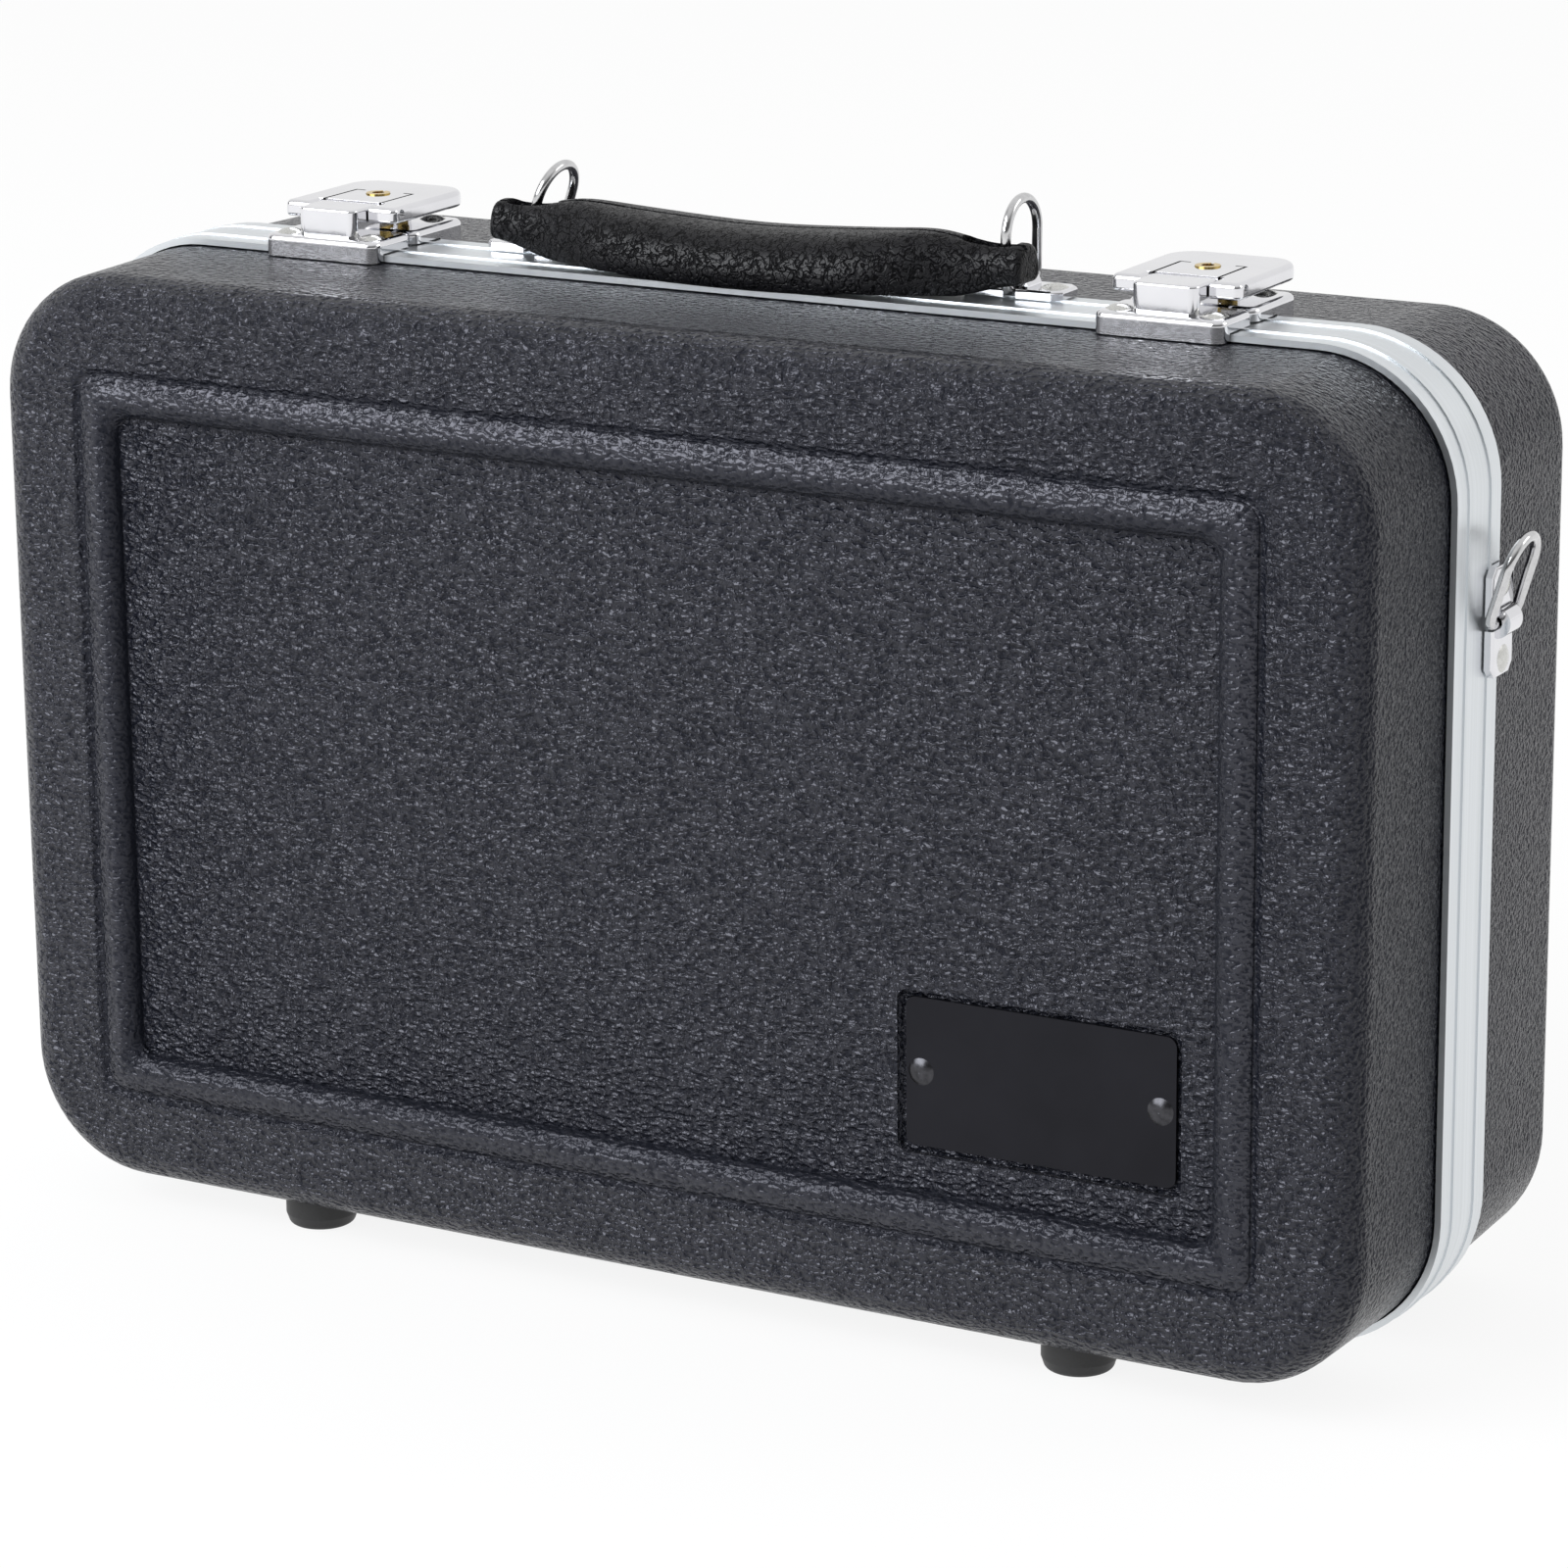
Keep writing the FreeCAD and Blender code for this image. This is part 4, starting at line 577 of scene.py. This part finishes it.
def box_distance(x, z, half_x, half_z, radius):
    """Signed distance to a rounded box about the origin."""
    dx = abs(x) - half_x + radius
    dz = abs(z) - half_z + radius
    outside = math.hypot(max(dx, 0.0), max(dz, 0.0))
    return outside + min(max(dx, dz), 0.0) - radius


def soft_step(value):
    """A smooth step from 0 to 1."""
    value = min(1.0, max(0.0, value))
    return value * value * (3 - 2 * value)


def round_square(u, v, half_x, half_z, corner):
    """Map the square -1..1 onto a rectangle whose corners are rounded."""
    x, z = u * half_x, v * half_z
    dx, dz = abs(x) - half_x + corner, abs(z) - half_z + corner
    if dx > 0 and dz > 0:
        share = max(dx, dz) / math.hypot(dx, dz)
        x = math.copysign(half_x - corner + dx * share, x)
        z = math.copysign(half_z - corner + dz * share, z)
    return x, z


def cushion_mesh(name, box, corner, front_depth, back_y, inset):
    """A closed block on a grid. front_depth gives the front's y from a place's x and z,
    and from its x and z off the block's middle. The back is drawn in by the inset."""
    low, high = box
    half, middle = (high - low) / 2, (high + low) / 2
    columns = round(2 * half.x / CELL)
    rows = round(2 * half.z / CELL)
    shrink_x, shrink_z = 1 - inset / half.x, 1 - inset / half.z
    mesh = bmesh.new()
    front, back = {}, {}
    for i in range(columns + 1):
        for j in range(rows + 1):
            u, v = 2 * i / columns - 1, 2 * j / rows - 1
            x, z = round_square(u, v, half.x, half.z, corner)
            y = front_depth(x + middle.x, z + middle.z, x, z)
            front[i, j] = mesh.verts.new((x + middle.x, y, z + middle.z))
            if i in (0, columns) or j in (0, rows):
                spot = (x * shrink_x + middle.x, back_y, z * shrink_z + middle.z)
                back[i, j] = mesh.verts.new(spot)
    for i in range(columns):
        for j in range(rows):
            corners = (i, j), (i + 1, j), (i + 1, j + 1), (i, j + 1)
            mesh.faces.new([front[place] for place in corners])
    loop = [(i, 0) for i in range(columns)] + [(columns, j) for j in range(rows)]
    loop += [(i, rows) for i in range(columns, 0, -1)] + [(0, j) for j in range(rows, 0, -1)]
    for a, b in zip(loop, loop[1:] + loop[:1]):
        mesh.faces.new((front[b], front[a], back[a], back[b]))
    mesh.faces.new([back[place] for place in loop])
    bmesh.ops.recalc_face_normals(mesh, faces=mesh.faces)
    for face in mesh.faces:
        face.smooth = len(face.verts) < 5
    return mesh_piece(name, mesh)


def finish_soft(piece, material, body, node):
    """What every soft piece needs: its material and its body, with the node that it stands for
    hidden.
    """
    piece.data.materials.append(material)
    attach(piece, body)
    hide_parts(node)


def lining_bays():
    """Middle and half size of each bay, from the boxes that the record gives for them."""
    bays = []
    for opening in frame["record"]["physics"]["openings"]:
        if opening["name"].endswith("_bay"):
            low, high = map(Vector, opening["box_m"])
            bays.append(((low + high) / 2, (high - low) / 2))
    return bays


def make_lining(material):
    """The fitted lining: rounded bays, sunk with soft edges into a plush block."""
    low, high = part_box("base_liner")
    half = (high - low) / 2
    bays = lining_bays()

    def depth(x, z, local_x, local_z):
        deepest = 0.0
        for middle, size in bays:
            gap = box_distance(x - middle.x, z - middle.z,
                               size.x + BAY_GROWTH, size.z + BAY_GROWTH, BAY_ROUND)
            floor = middle.y + size.y + BAY_GROWTH - low.y
            deepest = max(deepest, soft_step(0.5 - gap / EDGE_ROUND) * floor)
        rim = -box_distance(local_x, local_z, half.x, half.z, LINING_CORNER)
        roll = (1 - soft_step(rim / LINING_ROLL_WIDTH)) * LINING_ROLL
        return low.y + max(deepest, roll)

    piece = cushion_mesh("lining", (low, high), LINING_CORNER, depth, high.y, LINING_INSET)
    finish_soft(piece, material, "base", "base_liner")


def make_lid_cushion(material):
    """The lid's padded board, with a sewn channel inside its rolled edge."""
    low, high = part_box("lid_pad")
    half = (high - low) / 2

    def depth(x, z, local_x, local_z):
        rim = -box_distance(local_x, local_z, half.x, half.z, CUSHION_CORNER)
        roll = (1 - soft_step(rim / CUSHION_ROLL_WIDTH)) * CUSHION_ROLL
        seam = math.exp(-((rim - SEAM_INSET) / SEAM_WIDTH) ** 2) * SEAM_DEPTH
        crown = soft_step((rim - SEAM_INSET) / CROWN_WIDTH) * CROWN
        return high.y - CUSHION_HEADROOM - roll - seam + crown

    piece = cushion_mesh("lid_cushion", (low, high), CUSHION_CORNER, depth, low.y, CUSHION_INSET)
    finish_soft(piece, material, "lid", "lid_pad")


# Camera, solved on the edges of the case in the photograph

CAMERA_PLACE = Vector((0.6468, -1.1400, 0.4844))
CAMERA_YAW = math.radians(29.395)
CAMERA_PITCH = math.radians(15.618)
CAMERA_ROLL = math.radians(-0.555)
CAMERA_LENS = 127.23
CAMERA_SENSOR = 36.0
CAMERA_REACH = 100.0


def make_camera():
    """The photograph's viewpoint, with the horizon tilted by the roll."""
    data = bpy.data.cameras.new("camera")
    data.lens = CAMERA_LENS
    data.sensor_width = CAMERA_SENSOR
    data.clip_end = CAMERA_REACH
    camera = bpy.data.objects.new("camera", data)
    bpy.context.collection.objects.link(camera)
    ahead = Vector((-math.sin(CAMERA_YAW) * math.cos(CAMERA_PITCH),
                    math.cos(CAMERA_YAW) * math.cos(CAMERA_PITCH),
                    -math.sin(CAMERA_PITCH)))
    across = Vector((math.cos(CAMERA_YAW), math.sin(CAMERA_YAW), 0.0))
    up = across.cross(ahead)
    right = across * math.cos(CAMERA_ROLL) + up * math.sin(CAMERA_ROLL)
    top = up * math.cos(CAMERA_ROLL) - across * math.sin(CAMERA_ROLL)
    turn = Matrix((right, top, -ahead)).transposed().to_4x4()
    camera.matrix_world = Matrix.Translation(CAMERA_PLACE) @ turn
    bpy.context.scene.camera = camera


# Studio

# The glow is the share of plain white in what the camera and mirrors see of the floor.
FLOOR_SIZE = 40.0
FLOOR_COLOUR = grey(0.93)
FLOOR_GLOW = 0.88
BACKGROUND_RAYS = ("Is Camera Ray", "Is Glossy Ray", "Is Transmission Ray")
SKY_FRONT = 0.15
SKY_BACK = 0.9
SKY_TOP = 0.85
LAMP_TARGET = Vector((0.0, 0.0, 0.12))


def make_floor():
    """A pale floor that keeps the shadow, and is near white where it is background."""
    bpy.ops.mesh.primitive_plane_add(size=FLOOR_SIZE)
    floor = bpy.context.object
    floor.name = "floor"
    s = Shader("floor_paint")
    s.put(s.surface, Base_Color=FLOOR_COLOUR, Roughness=0.9, Specular_IOR_Level=0.1)
    glow = s.add("ShaderNodeEmission")
    s.put(glow, Color=WHITE, Strength=1.0)
    path = s.add("ShaderNodeLightPath").outputs
    seen = s.maths("MAXIMUM", *(path[ray] for ray in BACKGROUND_RAYS))
    mix = s.add("ShaderNodeMixShader")
    s.link(s.maths("MULTIPLY", seen, FLOOR_GLOW), mix.inputs["Fac"])
    s.link(s.surface.outputs["BSDF"], mix.inputs[1])
    s.link(glow.outputs[0], mix.inputs[2])
    s.link(mix.outputs[0], s.output.inputs["Surface"])
    floor.data.materials.append(s.material)


def make_sky():
    """A room that is white along the horizon, bright behind and overhead, dim in front."""
    world = bpy.data.worlds.new("studio")
    bpy.context.scene.world = world
    world.use_nodes = True
    n = Nodes(world.node_tree)
    way = n.split(n.add("ShaderNodeTexCoord").outputs["Generated"])
    behind = n.spread(way["Y"], SKY_FRONT, SKY_BACK, start=-0.35, end=0.30, smooth=True)
    above = n.spread(way["Z"], 0.0, SKY_TOP, start=0.25, end=0.95, smooth=True)
    around = n.spread(way["Z"], 1.0, 0.0, start=0.03, end=0.16, smooth=True)
    light = n.add("ShaderNodeBackground")
    n.put(light, Color=WHITE, Strength=n.maths("MAXIMUM", behind, above, around))
    output = n.add("ShaderNodeOutputWorld")
    n.link(light.outputs[0], output.inputs["Surface"])


def make_softbox(name, place, size, power, tint):
    """A large rectangular lamp that looks at the case."""
    data = bpy.data.lights.new(name, "AREA")
    data.shape = "RECTANGLE"
    data.size, data.size_y = size
    data.energy = power
    data.color = tint
    lamp = bpy.data.objects.new(name, data)
    lamp.location = place
    lamp.rotation_euler = (LAMP_TARGET - Vector(place)).to_track_quat("-Z", "Y").to_euler()
    bpy.context.collection.objects.link(lamp)


def make_lights():
    make_softbox("key", place=(-1.05, -1.70, 1.32), size=(2.0, 1.5), power=62.0,
                 tint=(0.95, 0.97, 1.0))
    make_softbox("fill", place=(1.5, 0.9, 1.3), size=(1.0, 0.8), power=5.0,
                 tint=(1.0, 0.98, 0.95))


make_camera()
make_floor()
make_sky()
make_lights()
shell = shell_plastic()
dress_nodes(shell)
make_skin("lid_skin", "lid_shell", "lid", shell)
make_skin("base_skin", "base_shell", "base", shell)
lining = plush()
make_lining(lining)
make_lid_cushion(lining)

bpy.context.scene.view_settings.view_transform = "Standard"
